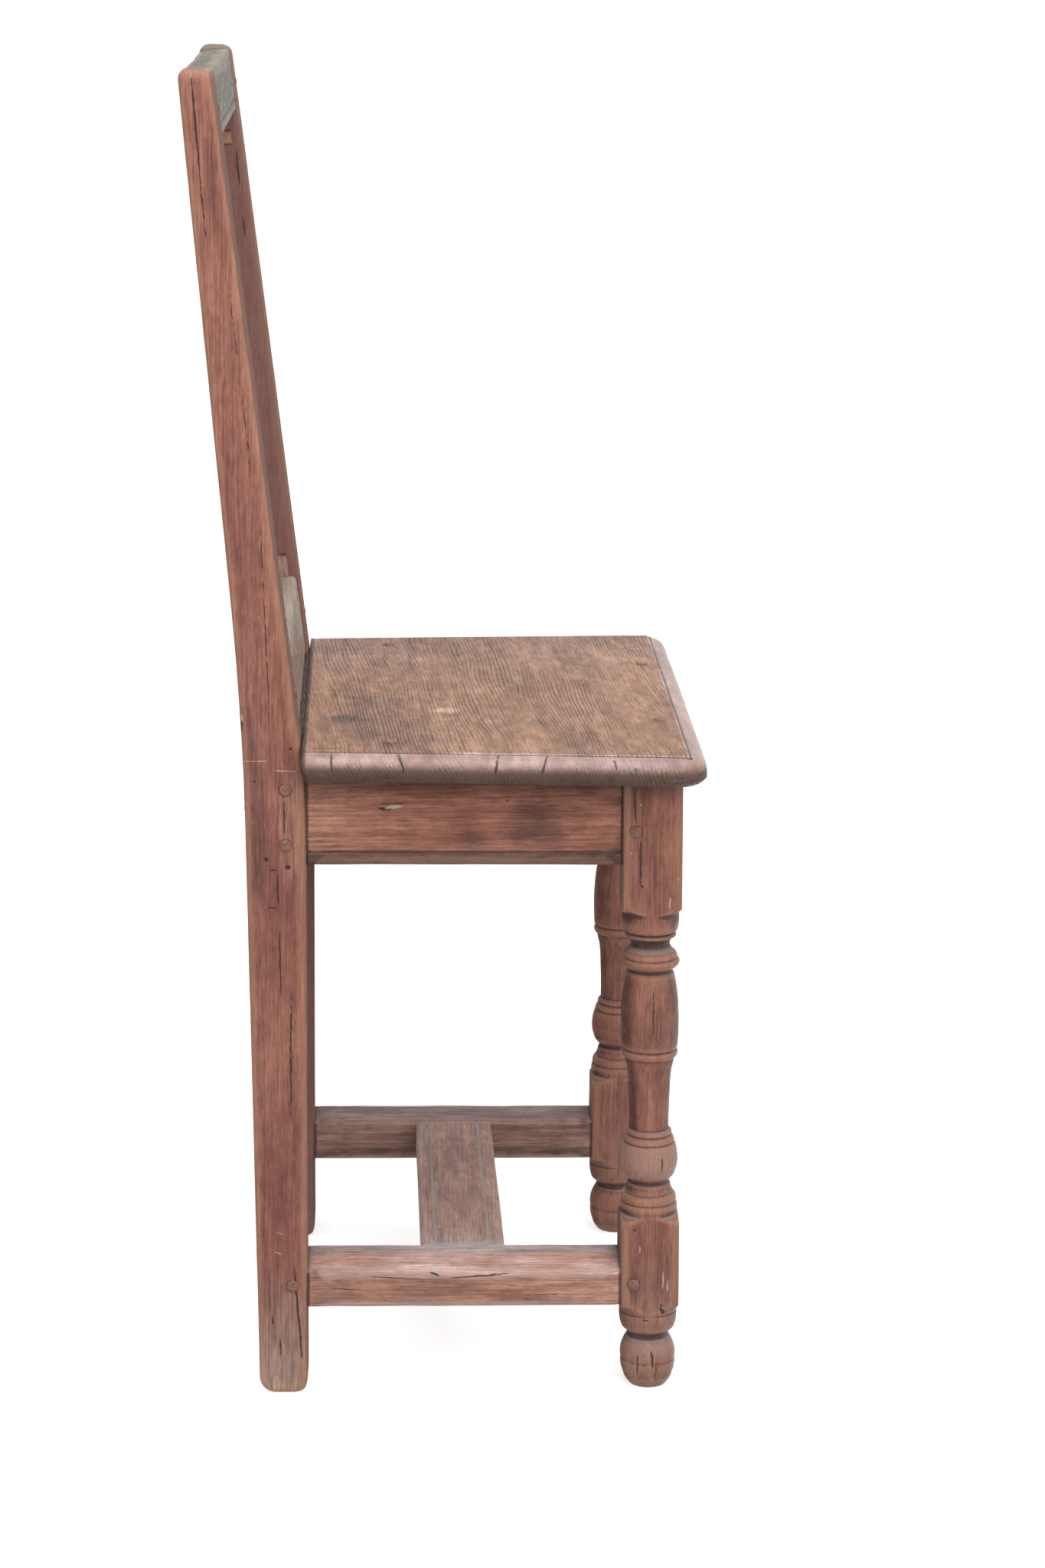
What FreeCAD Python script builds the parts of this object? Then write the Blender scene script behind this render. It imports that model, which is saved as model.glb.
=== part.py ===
import FreeCAD, Part
import math
import os

from FreeCAD import Vector

# A joined oak side chair of the seventeenth century: an open raked back of two rails, a plank seat,
# turned front legs and low stretchers in the shape of an H. Everything is held by tenons in blind
# mortises and by riven pegs. Millimetres, Z up. The chair faces -Y and its right side is at -X.
# While it is modelled, Y is zero at the rear posts' front face. At the end the chair is moved along Y,
# so that the origin lies on the floor under the middle of its box.

# Overall sizes
total_height = 1000.0
seat_height = 512.0
frame_width = 377.0
side_rail_length = 237.0

# Rear posts
post_width = 45.0
post_foot_depth = 37.1
post_seat_depth = 47.0
post_top_depth = 25.0
post_bend_below_seat = 34.0
post_rear_bend_above_seat = 18.0
post_rake_reach = 65.0
post_front_bend = 34.0
post_rear_bend = 90.0
post_top_round = 6.0
post_foot_round = 7.0

# Front legs, from the floor up
leg_square = 45.0
leg_foot_height = 71.5
leg_lower_block = 63.0
leg_shoulder = 7.0
leg_upper_block = 102.0

# How far a chord of the turning may lie from its arc, which keeps the turned solid light
turning_sag = 0.8

# Seat rails
seat_rail_height = 70.5
seat_rail_thickness = 24.0
seat_rail_recess = 3.0
seat_rail_edge_round = 4.0
seat_rail_line_rise = 11.0

# Seat board
seat_thickness = 22.0
seat_width_front = 464.0
seat_width_rear = 428.0
seat_front_overhang = 13.0
seat_rear_gap = 0.7
seat_tongue_gap = 1.0
seat_tongue_drop = 1.0
seat_corner_round = 28.0
seat_top_round = 12.0
seat_under_bevel = 4.0
seat_line_inset = 13.5

# Back rails, measured along the raked posts
top_rail_drop = 1.0
top_rail_height = 48.0
top_rail_thickness = 24.0
top_rail_recess = 0.8
top_rail_round = 4.0
top_rail_line_rise = 7.5
lower_rail_gap = 0.8
lower_rail_height = 64.5
lower_rail_thickness = 24.0
lower_rail_recess = 2.0
lower_rail_round = 6.0
lower_rail_line_drop = 12.0

# Stretchers
stretcher_drop = 1.0
stretcher_height = 35.0
stretcher_width = 45.0
stretcher_wear_width = 20.0
stretcher_wear_drop = 5.5
left_stretcher_wear_drop = 1.5
stretcher_inner_chamfer = 3.0
stretcher_peg_rise = 2.0
medial_width = 65.0
medial_thickness = 24.0
medial_drop = 1.0
medial_line_inset = 12.0
medial_edge_round = 3.0

# Tenons and mortises
tenon_thickness = 9.0
tenon_setback = 8.0
tenon_cut = 4.0
leg_top_cut = 12.0
joint_fit = 0.15
mortise_end_gap = 1.0
mortise_wall = 2.5
back_tenon_length = 28.0
top_tenon_cut = 9.0
stretcher_tenon_length = 28.0
post_stretcher_tenon_length = 26.0
medial_tenon_length = 24.0
medial_tenon_cut = 6.0
old_mortise_drop = 28.0
old_mortise_rise = 19.0
top_scrap_height = 13.0
scrap_gap = 0.8

# Pegs
peg_diameter = 9.6
back_peg_diameter = 8.0
peg_fit = 0.05
peg_end_gap = 1.5
peg_proud = 1.0
peg_taper = 0.8
peg_depth = 38.0
peg_end_wall = 3.0
leg_peg_inset = 9.8
leg_peg_rise = 27.0
post_peg_inset = 15.5
post_upper_peg_drop = 12.0
post_lower_peg_rise = 16.5
post_stretcher_peg_inset = 11.5
rear_peg_inset = 12.0
front_peg_spacing = 5.5
seat_peg_offset = 100.0
seat_side_peg_forward = 62.0
seat_peg_depth = 50.0

# Scratched lines, cut with a V tool
line_width = 2.4
line_depth = 1.3

# One overrun for every cut that has to pass a face
overrun = 5.0

# A peg's number of sides, and the half turn of a side that lays its flats level
peg_sides = 8
half_share = 0.5

# The turning between the leg's blocks, from the top down. Each row is a share of the turned length,
# the radius there as a share of half the square, and the radius halfway along the arc that leads to
# it, or None for a straight run.
turning_shares = (
    (0.040, 0.975, None),
    (0.064, 0.850, None),
    (0.078, 0.900, None),
    (0.098, 0.715, None),
    (0.118, 0.710, None),
    (0.150, 0.960, None),
    (0.166, 0.955, None),
    (0.190, 0.805, None),
    (0.212, 0.820, None),
    (0.320, 0.985, 0.935),
    (0.440, 0.975, None),
    (0.446, 0.940, None),
    (0.530, 0.740, 0.820),
    (0.715, 0.668, None),
    (0.724, 0.785, None),
    (0.747, 0.785, None),
    (0.876, 0.810, 0.990),
    (0.884, 0.740, None),
    (0.902, 0.740, None),
    (0.924, 0.865, None),
    (0.929, 0.845, None),
    (0.993, 0.960, 0.990),
    (1.000, 0.920, None),
)

# The cup and the ball foot below the lower block, in the same rows, as shares of the foot's height
foot_shares = (
    (0.063, 1.130, None),
    (0.133, 1.018, None),
    (0.343, 0.907, 0.985),
    (0.390, 0.755, None),
    (0.441, 0.738, None),
    (0.692, 0.938, 0.905),
    (0.874, 0.840, 0.920),
    (1.000, 0.640, 0.765),
)

# Worked out from the sizes above
half_frame = frame_width / 2
post_bend_height = seat_height - post_bend_below_seat
post_rear_bend_height = seat_height + post_rear_bend_above_seat
leg_lower_block_top = leg_foot_height + leg_lower_block
stretcher_bottom = leg_foot_height - stretcher_drop
seat_underside = seat_height - seat_thickness
seat_rail_bottom = seat_underside - seat_rail_height
rake = math.atan2(post_rake_reach, total_height - post_bend_height)
rake_length = math.hypot(post_rake_reach, total_height - post_bend_height)
leg_rear_y = -side_rail_length
leg_front_y = leg_rear_y - leg_square
leg_axis_y = leg_rear_y - leg_square / 2
leg_axis_x = half_frame - leg_square / 2
leg_inner_x = half_frame - leg_square
post_inner_x = half_frame - post_width
tenon_x = half_frame - seat_rail_recess - tenon_setback - tenon_thickness / 2
corner_tenon_length = leg_square - seat_rail_recess - tenon_setback - tenon_thickness - mortise_wall
stretcher_top = stretcher_bottom + stretcher_height
stretcher_inner_x = half_frame - stretcher_width
stretcher_tenon_x = half_frame - stretcher_width / 2


def post_depth_at(height):
    """Depth of a rear post below its rear bend."""
    return post_foot_depth + (post_seat_depth - post_foot_depth) * height / post_rear_bend_height


def post_front_at(height):
    """How far back the posts' front has bent at a height within the bend's arc."""
    bend_radius = post_front_bend / math.tan(rake / 2)
    rise = height - (post_bend_height - post_front_bend)
    return bend_radius - math.sqrt(bend_radius ** 2 - rise ** 2)


rear_rail_y = post_depth_at(seat_rail_bottom) - seat_rail_recess
rear_tenon_y = rear_rail_y - tenon_setback - tenon_thickness / 2
post_tenon_length = rear_tenon_y - tenon_thickness / 2 - mortise_wall


# Helpers for outlines and solids

def eased_corner(before, corner, after, ease):
    """The two tangent points and the middle of an arc that replaces a corner."""
    to_before = (before - corner).normalize()
    to_after = (after - corner).normalize()
    half_angle = to_before.getAngle(to_after) / 2
    middle_way = (to_before + to_after).normalize()
    radius = ease * math.tan(half_angle)
    start = corner + to_before * ease
    end = corner + to_after * ease
    middle = corner + middle_way * (ease / math.cos(half_angle) - radius)
    return start, middle, end


def outline_face(points):
    """A face from rows of a point and its ease, the length that the corner's arc takes off each side."""
    runs = []
    count = len(points)
    for index, (corner, ease) in enumerate(points):
        if ease > 0:
            before = points[index - 1][0]
            after = points[(index + 1) % count][0]
            runs.append(eased_corner(before, corner, after, ease))
        else:
            runs.append((corner, None, corner))
    edges = []
    for index, (start, middle, end) in enumerate(runs):
        if middle is not None:
            edges.append(Part.Arc(start, middle, end).toShape())
        following = runs[(index + 1) % count][0]
        edges.append(Part.LineSegment(end, following).toShape())
    return Part.Face(Part.Wire(edges))


def box(x_range, y_range, z_range):
    """A box between three pairs of limits."""
    low = Vector(min(x_range), min(y_range), min(z_range))
    high = Vector(max(x_range), max(y_range), max(z_range))
    size = high - low
    return Part.makeBox(size.x, size.y, size.z, low)


def mirrored(shape):
    """The same shape on the chair's other side, as a solid of its own."""
    return shape.mirror(Vector(), Vector(1, 0, 0))


def raked(shape):
    """Leans a shape that was made on an upright back to the rear posts' rake."""
    leaned = shape.copy()
    leaned.rotate(Vector(0, 0, post_bend_height), Vector(1, 0, 0), -math.degrees(rake))
    return leaned


def line_cut(start, end, outward):
    """A V-shaped prism whose open side lies on the face that outward points away from."""
    along = (end - start).normalize()
    across = along.cross(outward).normalize()
    slope = line_width / 2 / line_depth
    rim = outward * overrun
    half_rim = across * (line_depth + overrun) * slope
    corners = [start - outward * line_depth, start + rim + half_rim, start + rim - half_rim]
    face = Part.Face(Part.makePolygon(corners + corners[:1]))
    return face.extrude(end - start)


def eight_sided(head, direction, stages):
    """A solid lofted through eight-sided rings, each given by its depth below head and its radius."""
    turn = 2 * math.pi / peg_sides
    across = direction.cross(Vector(0, 0, 1))
    if across.Length < math.sin(turn):
        across = direction.cross(Vector(0, 1, 0))
    across.normalize()
    upward = direction.cross(across).normalize()
    loops = []
    for depth, radius in stages:
        ring = []
        for side in range(peg_sides):
            angle = turn * (side + half_share)
            spoke = across * (radius * math.cos(angle)) + upward * (radius * math.sin(angle))
            ring.append(head + direction * depth + spoke)
        loops.append(Part.makePolygon(ring + ring[:1]))
    return Part.makeLoft(loops, True, True)


def peg(head, direction, diameter, length):
    """A riven peg: eight-sided, tapered, with its head a little proud of the face at head."""
    radius = diameter / 2
    return eight_sided(head, direction, (
        (-peg_proud, radius - peg_proud),
        (0, radius),
        (length, radius - peg_taper / 2),
    ))


def peg_hole(head, direction, diameter, length):
    """The hole of a peg. A peg driven hard prints its corners into the wood, so the hole has its shape."""
    radius = diameter / 2 + peg_fit
    return eight_sided(head, direction, (
        (-overrun, radius),
        (0, radius),
        (length + peg_end_gap, radius - peg_taper / 2),
    ))


# Rear posts

def post_blank():
    """One rear post seen from the side and given its width, on the right side of the chair."""
    points = (
        (Vector(0, 0, 0), post_foot_round),
        (Vector(0, 0, post_bend_height), post_front_bend),
        (Vector(0, post_rake_reach, total_height), post_top_round),
        (Vector(0, post_rake_reach + post_top_depth, total_height), post_top_round),
        (Vector(0, post_seat_depth, post_rear_bend_height), post_rear_bend),
        (Vector(0, post_foot_depth, 0), post_foot_round),
    )
    face = outline_face(points)
    face.translate(Vector(-half_frame, 0, 0))
    return face.extrude(Vector(post_width, 0, 0))


# Front legs

def turned_profile():
    """Half of the leg's section in the plane of X and Z, from its top down to the foot's pad."""
    half = leg_square / 2
    corner = half * math.sqrt(2)
    beyond = corner + overrun
    turned_top = seat_underside - leg_upper_block - leg_shoulder
    turned_bottom = leg_lower_block_top + leg_shoulder
    edges = []
    at = Vector(0, 0, seat_underside + overrun)

    def straight(radius, height):
        nonlocal at
        to = Vector(radius, 0, height)
        edges.append(Part.LineSegment(at, to).toShape())
        at = to

    def curved(radius, height, middle_radius):
        to = Vector(radius, 0, height)
        middle = Vector(middle_radius, 0, (at.z + height) / 2)
        bow = Part.Arc(at, middle, to).toShape()
        widest = 2 * math.acos(1 - turning_sag / bow.Curve.Radius)
        chords = math.ceil(bow.Length / bow.Curve.Radius / widest)
        points = bow.discretize(chords + 1)
        if points[0].distanceToPoint(at) > points[-1].distanceToPoint(at):
            points.reverse()
        for point in points[1:]:
            straight(point.x, point.z)

    def turned(rows, top, length):
        for share, radius_share, middle_share in rows:
            height = top - length * share
            if middle_share is None:
                straight(half * radius_share, height)
            else:
                curved(half * radius_share, height, half * middle_share)

    straight(beyond, seat_underside + overrun)
    straight(beyond, turned_top + leg_shoulder)
    straight(corner, turned_top + leg_shoulder)
    straight(half, turned_top)
    turned(turning_shares, turned_top, turned_top - turned_bottom)
    straight(half, turned_bottom)
    straight(corner, leg_lower_block_top)
    straight(beyond, leg_lower_block_top)
    straight(beyond, leg_foot_height)
    straight(corner, leg_foot_height)
    turned(foot_shares, leg_foot_height, leg_foot_height)
    straight(0, 0)
    straight(0, seat_underside + overrun)
    return Part.Face(Part.Wire(edges))


def leg_blank():
    """One front leg: the square of the timber met by the turned shape, so shoulders arch as on a lathe."""
    turned = turned_profile().revolve(Vector(), Vector(0, 0, 1), 360)
    turned.translate(Vector(-leg_axis_x, leg_axis_y, 0))
    square = box((-half_frame, -leg_inner_x), (leg_front_y, leg_rear_y), (0, seat_underside))
    return square.common(turned).Solids[0]


# Rails of the seat frame

def moulded_rail(length, thickness, height):
    """A rail along Y with its outer face at X zero, its lower outer edge rounded and a line above it."""
    points = (
        (Vector(0, 0, 0), seat_rail_edge_round),
        (Vector(thickness, 0, 0), 0),
        (Vector(thickness, 0, height), 0),
        (Vector(0, 0, height), 0),
    )
    rail = outline_face(points).extrude(Vector(0, length, 0))
    start = Vector(0, -overrun, seat_rail_line_rise)
    end = Vector(0, length + overrun, seat_rail_line_rise)
    return rail.cut(line_cut(start, end, Vector(-1, 0, 0)))


def side_seat_rail():
    """The right seat rail with a tenon at each end."""
    rail = moulded_rail(side_rail_length, seat_rail_thickness, seat_rail_height)
    rail.translate(Vector(-half_frame + seat_rail_recess, leg_rear_y, seat_rail_bottom))
    tenon_range = (-tenon_x - tenon_thickness / 2, -tenon_x + tenon_thickness / 2)
    low = seat_rail_bottom + tenon_cut
    front = box(tenon_range, (leg_rear_y - corner_tenon_length, leg_rear_y + overrun),
                (low, seat_underside - leg_top_cut))
    rear = box(tenon_range, (-overrun, post_tenon_length), (low, seat_underside - tenon_cut))
    return rail.fuse([front, rear]).removeSplitter().Solids[0]


def side_rail_mortise(at_front):
    """The mortise for a side seat rail, in the front leg or in the rear post."""
    tenon_range = (-tenon_x - tenon_thickness / 2 - joint_fit, -tenon_x + tenon_thickness / 2 + joint_fit)
    low = seat_rail_bottom + tenon_cut - joint_fit
    if at_front:
        depth = corner_tenon_length + mortise_end_gap
        return box(tenon_range, (leg_rear_y - depth, leg_rear_y + overrun),
                   (low, seat_underside - leg_top_cut + joint_fit))
    depth = post_tenon_length + mortise_end_gap
    return box(tenon_range, (-overrun, depth), (low, seat_underside - tenon_cut + joint_fit))


def front_seat_rail():
    """The front seat rail, moulded like the side rails."""
    length = 2 * leg_inner_x
    rail = moulded_rail(length, seat_rail_thickness, seat_rail_height)
    rail.rotate(Vector(), Vector(0, 0, 1), 90)
    rail.translate(Vector(leg_inner_x, leg_front_y + seat_rail_recess, seat_rail_bottom))
    tenon_start = leg_front_y + seat_rail_recess + tenon_setback
    tenons = box((-leg_inner_x - corner_tenon_length, leg_inner_x + corner_tenon_length),
                 (tenon_start, tenon_start + tenon_thickness),
                 (seat_rail_bottom + tenon_cut, seat_underside - leg_top_cut))
    return rail.fuse(tenons).removeSplitter().Solids[0]


def front_rail_mortise():
    """The mortise for the front seat rail in the right front leg."""
    start = leg_front_y + seat_rail_recess + tenon_setback
    reach = corner_tenon_length + mortise_end_gap
    return box((-leg_inner_x - reach, -leg_inner_x + overrun),
               (start - joint_fit, start + tenon_thickness + joint_fit),
               (seat_rail_bottom + tenon_cut - joint_fit, seat_underside - leg_top_cut + joint_fit))


def rear_seat_rail():
    """The plain rail under the seat's back edge."""
    body = box((-post_inner_x, post_inner_x), (rear_rail_y - seat_rail_thickness, rear_rail_y),
               (seat_rail_bottom, seat_underside))
    tenons = box((-post_inner_x - back_tenon_length, post_inner_x + back_tenon_length),
                 (rear_tenon_y - tenon_thickness / 2, rear_tenon_y + tenon_thickness / 2),
                 (seat_rail_bottom + tenon_cut, seat_underside - tenon_cut))
    return body.fuse(tenons).removeSplitter().Solids[0]


def rear_rail_mortise():
    """The mortise for the rear seat rail in the right rear post."""
    reach = back_tenon_length + mortise_end_gap
    half = tenon_thickness / 2 + joint_fit
    return box((-post_inner_x - reach, -post_inner_x + overrun), (rear_tenon_y - half, rear_tenon_y + half),
               (seat_rail_bottom + tenon_cut - joint_fit, seat_underside - tenon_cut + joint_fit))


# Seat board

def seat_board():
    """The plank seat. Its tongue runs back between the posts, planed down to clear the lower back rail."""
    front_y = leg_front_y - seat_front_overhang
    rear_y = post_front_at(seat_underside) - seat_rear_gap
    half_front = seat_width_front / 2
    half_rear = seat_width_rear / 2
    points = (
        (Vector(-half_rear, rear_y, seat_underside), 0),
        (Vector(-half_front, front_y, seat_underside), seat_corner_round),
        (Vector(half_front, front_y, seat_underside), seat_corner_round),
        (Vector(half_rear, rear_y, seat_underside), 0),
    )
    board = outline_face(points).extrude(Vector(0, 0, seat_thickness))

    def rim(height):
        edges = []
        for edge in board.Edges:
            bounds = edge.BoundBox
            level = abs(bounds.ZMin - height) < joint_fit and abs(bounds.ZMax - height) < joint_fit
            if level and bounds.YMin < rear_y - joint_fit:
                edges.append(edge)
        return edges

    board = board.makeFillet(seat_top_round, rim(seat_height))
    board = board.makeChamfer(seat_under_bevel, rim(seat_underside))
    tongue_x = post_inner_x - seat_tongue_gap
    tongue_top = seat_height - seat_tongue_drop
    tongue = box((-tongue_x, tongue_x), (rear_y - overrun, rear_rail_y), (seat_underside, tongue_top))
    board = board.fuse(tongue).removeSplitter()
    line_front = front_y + seat_line_inset
    slope = (half_front - half_rear) / (rear_y - front_y)
    inset = seat_line_inset * math.hypot(1, slope)

    def line_x(y):
        return half_front - slope * (y - front_y) - inset

    front_corner = Vector(-line_x(line_front), line_front, seat_height)
    rear_corner = Vector(-line_x(rear_y + overrun), rear_y + overrun, seat_height)
    upward = Vector(0, 0, 1)
    side_line = line_cut(front_corner, rear_corner, upward)
    front_line = line_cut(front_corner, Vector(-front_corner.x, front_corner.y, seat_height), upward)
    return board.cut([side_line, mirrored(side_line), front_line]).Solids[0]


# Rails of the back

def back_rail(low, height, thickness, recess, edge_round, line_height, tenon_low, tenon_high):
    """A rail between the raked posts. Heights run along the posts from their bend."""
    start = Vector(-post_inner_x, recess, post_bend_height)
    base = start + Vector(0, 0, low)
    points = (
        (base, 0),
        (base + Vector(0, thickness, 0), 0),
        (base + Vector(0, thickness, height), edge_round / 2),
        (base + Vector(0, 0, height), edge_round),
    )
    rail = outline_face(points).extrude(Vector(2 * post_inner_x, 0, 0))
    line_start = start + Vector(-overrun, 0, line_height)
    line_end = line_start + Vector(2 * (post_inner_x + overrun), 0, 0)
    rail = rail.cut(line_cut(line_start, line_end, Vector(0, -1, 0)))
    reach = post_inner_x + back_tenon_length
    tenons = box((-reach, reach), (tenon_setback, tenon_setback + tenon_thickness),
                 (post_bend_height + tenon_low, post_bend_height + tenon_high))
    return raked(rail.fuse(tenons).removeSplitter().Solids[0])


def back_rail_mortise(tenon_low, tenon_high):
    """A mortise for a back rail in the right rear post, in the same heights along the post."""
    reach = post_inner_x + back_tenon_length + mortise_end_gap
    return raked(box((-reach, -post_inner_x + overrun),
                     (tenon_setback - joint_fit, tenon_setback + tenon_thickness + joint_fit),
                     (post_bend_height + tenon_low - joint_fit, post_bend_height + tenon_high + joint_fit)))


def mortise_scrap(low, high):
    """A scrap of wood in the open end of a mortise, flush with the right post's inner face."""
    reach = post_inner_x + back_tenon_length
    return raked(box((-reach, -post_inner_x), (tenon_setback, tenon_setback + tenon_thickness),
                     (post_bend_height + low, post_bend_height + high)))


top_rail_high = rake_length - top_rail_drop
top_rail_low = top_rail_high - top_rail_height
top_tenon_low = top_rail_low + tenon_cut
top_tenon_high = top_rail_high - top_tenon_cut
lower_rail_rise = post_bend_below_seat + lower_rail_gap + lower_rail_recess * math.sin(rake)
lower_rail_low = lower_rail_rise / math.cos(rake)
lower_rail_high = lower_rail_low + lower_rail_height
lower_tenon_low = lower_rail_low + tenon_cut
lower_tenon_high = lower_rail_high - tenon_cut
old_top_low = top_rail_low - old_mortise_drop
old_lower_high = lower_rail_high + old_mortise_rise


def top_rail():
    """The rail between the posts' tops."""
    return back_rail(top_rail_low, top_rail_height, top_rail_thickness, top_rail_recess,
                     top_rail_round, top_rail_low + top_rail_line_rise, top_tenon_low, top_tenon_high)


def lower_back_rail():
    """The rail just above the seat."""
    return back_rail(lower_rail_low, lower_rail_height, lower_rail_thickness, lower_rail_recess,
                     lower_rail_round, lower_rail_high - lower_rail_line_drop,
                     lower_tenon_low, lower_tenon_high)


# Stretchers

def side_stretcher(wear_drop):
    """A side stretcher on the right, its outer top edge worn down by feet."""
    x = -half_frame
    section = (
        (Vector(x, leg_rear_y, stretcher_bottom), 0),
        (Vector(x + stretcher_width, leg_rear_y, stretcher_bottom), 0),
        (Vector(x + stretcher_width, leg_rear_y, stretcher_top - stretcher_inner_chamfer), 0),
        (Vector(x + stretcher_width - stretcher_inner_chamfer, leg_rear_y, stretcher_top), 0),
        (Vector(x + stretcher_wear_width, leg_rear_y, stretcher_top), 0),
        (Vector(x, leg_rear_y, stretcher_top - wear_drop), 0),
    )
    bar = outline_face(section).extrude(Vector(0, side_rail_length, 0))
    half = tenon_thickness / 2
    tenons = box((-stretcher_tenon_x - half, -stretcher_tenon_x + half),
                 (leg_rear_y - stretcher_tenon_length, post_stretcher_tenon_length),
                 (stretcher_bottom + tenon_cut, stretcher_top - 2 * tenon_cut))
    bar = bar.fuse(tenons).removeSplitter().Solids[0]
    return bar.cut(medial_mortise())


def stretcher_mortise():
    """The mortises for the right side stretcher, in its leg and its post, as one cutter."""
    half = tenon_thickness / 2 + joint_fit
    return box((-stretcher_tenon_x - half, -stretcher_tenon_x + half),
               (leg_rear_y - stretcher_tenon_length - mortise_end_gap,
                post_stretcher_tenon_length + mortise_end_gap),
               (stretcher_bottom + tenon_cut - joint_fit, stretcher_top - 2 * tenon_cut + joint_fit))


medial_middle_y = leg_rear_y / 2
medial_half_tenon = medial_width / 2 - medial_tenon_cut
medial_top = stretcher_top - medial_drop
medial_tenon_z = medial_top - medial_thickness / 2


def medial_stretcher():
    """The broad flat stretcher between the side ones."""
    half = medial_width / 2
    bottom = medial_top - medial_thickness
    points = (
        (Vector(-stretcher_inner_x, medial_middle_y - half, bottom), medial_edge_round),
        (Vector(-stretcher_inner_x, medial_middle_y + half, bottom), medial_edge_round),
        (Vector(-stretcher_inner_x, medial_middle_y + half, medial_top), medial_edge_round),
        (Vector(-stretcher_inner_x, medial_middle_y - half, medial_top), medial_edge_round),
    )
    board = outline_face(points).extrude(Vector(2 * stretcher_inner_x, 0, 0))
    cutters = []
    for side in (-1, 1):
        y = medial_middle_y + side * (half - medial_line_inset)
        start = Vector(-stretcher_inner_x - overrun, y, medial_top)
        end = Vector(stretcher_inner_x + overrun, y, medial_top)
        cutters.append(line_cut(start, end, Vector(0, 0, 1)))
    board = board.cut(cutters)
    reach = stretcher_inner_x + medial_tenon_length
    tenons = box((-reach, reach), (medial_middle_y - medial_half_tenon, medial_middle_y + medial_half_tenon),
                 (medial_tenon_z - tenon_thickness / 2, medial_tenon_z + tenon_thickness / 2))
    return board.fuse(tenons).removeSplitter().Solids[0]


def medial_mortise():
    """The mortise for the medial stretcher in the right side stretcher."""
    reach = stretcher_inner_x + medial_tenon_length + mortise_end_gap
    half_width = medial_half_tenon + joint_fit
    half_height = tenon_thickness / 2 + joint_fit
    return box((-reach, -stretcher_inner_x + overrun),
               (medial_middle_y - half_width, medial_middle_y + half_width),
               (medial_tenon_z - half_height, medial_tenon_z + half_height))


# Pegs of the right side. Each row is a head's place, the way it was driven, a diameter and a length.
inward = Vector(1, 0, 0)
rearward = Vector(0, 1, 0)
forward = Vector(0, -1, 0)
downward = Vector(0, 0, -1)
rake_inward = Vector(0, math.cos(rake), -math.sin(rake))
leg_peg_z = seat_rail_bottom + leg_peg_rise
stretcher_peg_z = (stretcher_bottom + stretcher_top - tenon_cut) / 2 + stretcher_peg_rise
upper_post_peg_z = seat_underside - post_upper_peg_drop
lower_post_peg_z = seat_rail_bottom + post_lower_peg_rise
rear_peg_z = (upper_post_peg_z + lower_post_peg_z) / 2
front_peg_stagger = peg_diameter + front_peg_spacing
rear_peg_x = -post_inner_x - rear_peg_inset


def back_peg_row(tenon_low, tenon_high, post_depth):
    """A peg through the middle of a back rail's tenon, driven square to the raked front face."""
    run = (tenon_low + tenon_high) / 2
    head = Vector(rear_peg_x, run * math.sin(rake), post_bend_height + run * math.cos(rake))
    return (head, rake_inward, back_peg_diameter, post_depth - peg_end_wall)


peg_rows = {
    "leg_seat_rail_pegs": [
        (Vector(-half_frame, leg_rear_y - leg_peg_inset, leg_peg_z), inward, peg_diameter, peg_depth),
    ],
    "post_seat_rail_pegs": [
        (Vector(-half_frame, post_peg_inset, upper_post_peg_z), inward, peg_diameter, peg_depth),
        (Vector(-half_frame, post_peg_inset, lower_post_peg_z), inward, peg_diameter, peg_depth),
    ],
    "front_rail_pegs": [
        (Vector(-leg_inner_x - leg_peg_inset, leg_front_y, leg_peg_z + way * front_peg_stagger),
         rearward, peg_diameter, peg_depth)
        for way in (-1, 1)
    ],
    "rear_rail_pegs": [
        (Vector(rear_peg_x, post_depth_at(rear_peg_z), rear_peg_z), forward, peg_diameter,
         post_depth_at(rear_peg_z) - post_peg_inset / 2),
    ],
    "leg_stretcher_pegs": [
        (Vector(-half_frame, leg_rear_y - leg_peg_inset, stretcher_peg_z), inward, peg_diameter, peg_depth),
    ],
    "post_stretcher_pegs": [
        (Vector(-half_frame, post_stretcher_peg_inset, stretcher_peg_z), inward, peg_diameter, peg_depth),
    ],
    "top_rail_pegs": [back_peg_row(top_tenon_low, top_tenon_high, post_top_depth)],
    "lower_back_rail_pegs": [back_peg_row(lower_tenon_low, lower_tenon_high, post_top_depth)],
    "seat_pegs": [
        (Vector(-seat_peg_offset, leg_front_y + seat_rail_recess + seat_rail_thickness / 2, seat_height),
         downward, peg_diameter, seat_peg_depth),
        (Vector(-half_frame + seat_rail_recess + seat_rail_thickness / 2, -seat_side_peg_forward,
                seat_height),
         downward, peg_diameter, seat_peg_depth),
    ],
}


def with_peg_holes(shape, *names):
    """The shape with the holes for the named rows of pegs, on the right side only."""
    holes = [peg_hole(*row) for name in names for row in peg_rows[name]]
    return shape.cut(holes).Solids[0]


def both_sides(shape, *names):
    """The same for a piece that reaches across the chair."""
    holes = [peg_hole(*row) for name in names for row in peg_rows[name]]
    holes += [mirrored(hole) for hole in holes]
    return shape.cut(holes).Solids[0]


def rear_post():
    """The right rear post with its mortises and peg holes."""
    post = post_blank().cut([
        side_rail_mortise(False),
        rear_rail_mortise(),
        stretcher_mortise(),
        back_rail_mortise(lower_tenon_low, old_lower_high),
        back_rail_mortise(old_top_low, top_tenon_high),
    ])
    return with_peg_holes(post, "post_seat_rail_pegs", "rear_rail_pegs", "post_stretcher_pegs",
                          "top_rail_pegs", "lower_back_rail_pegs")


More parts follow.
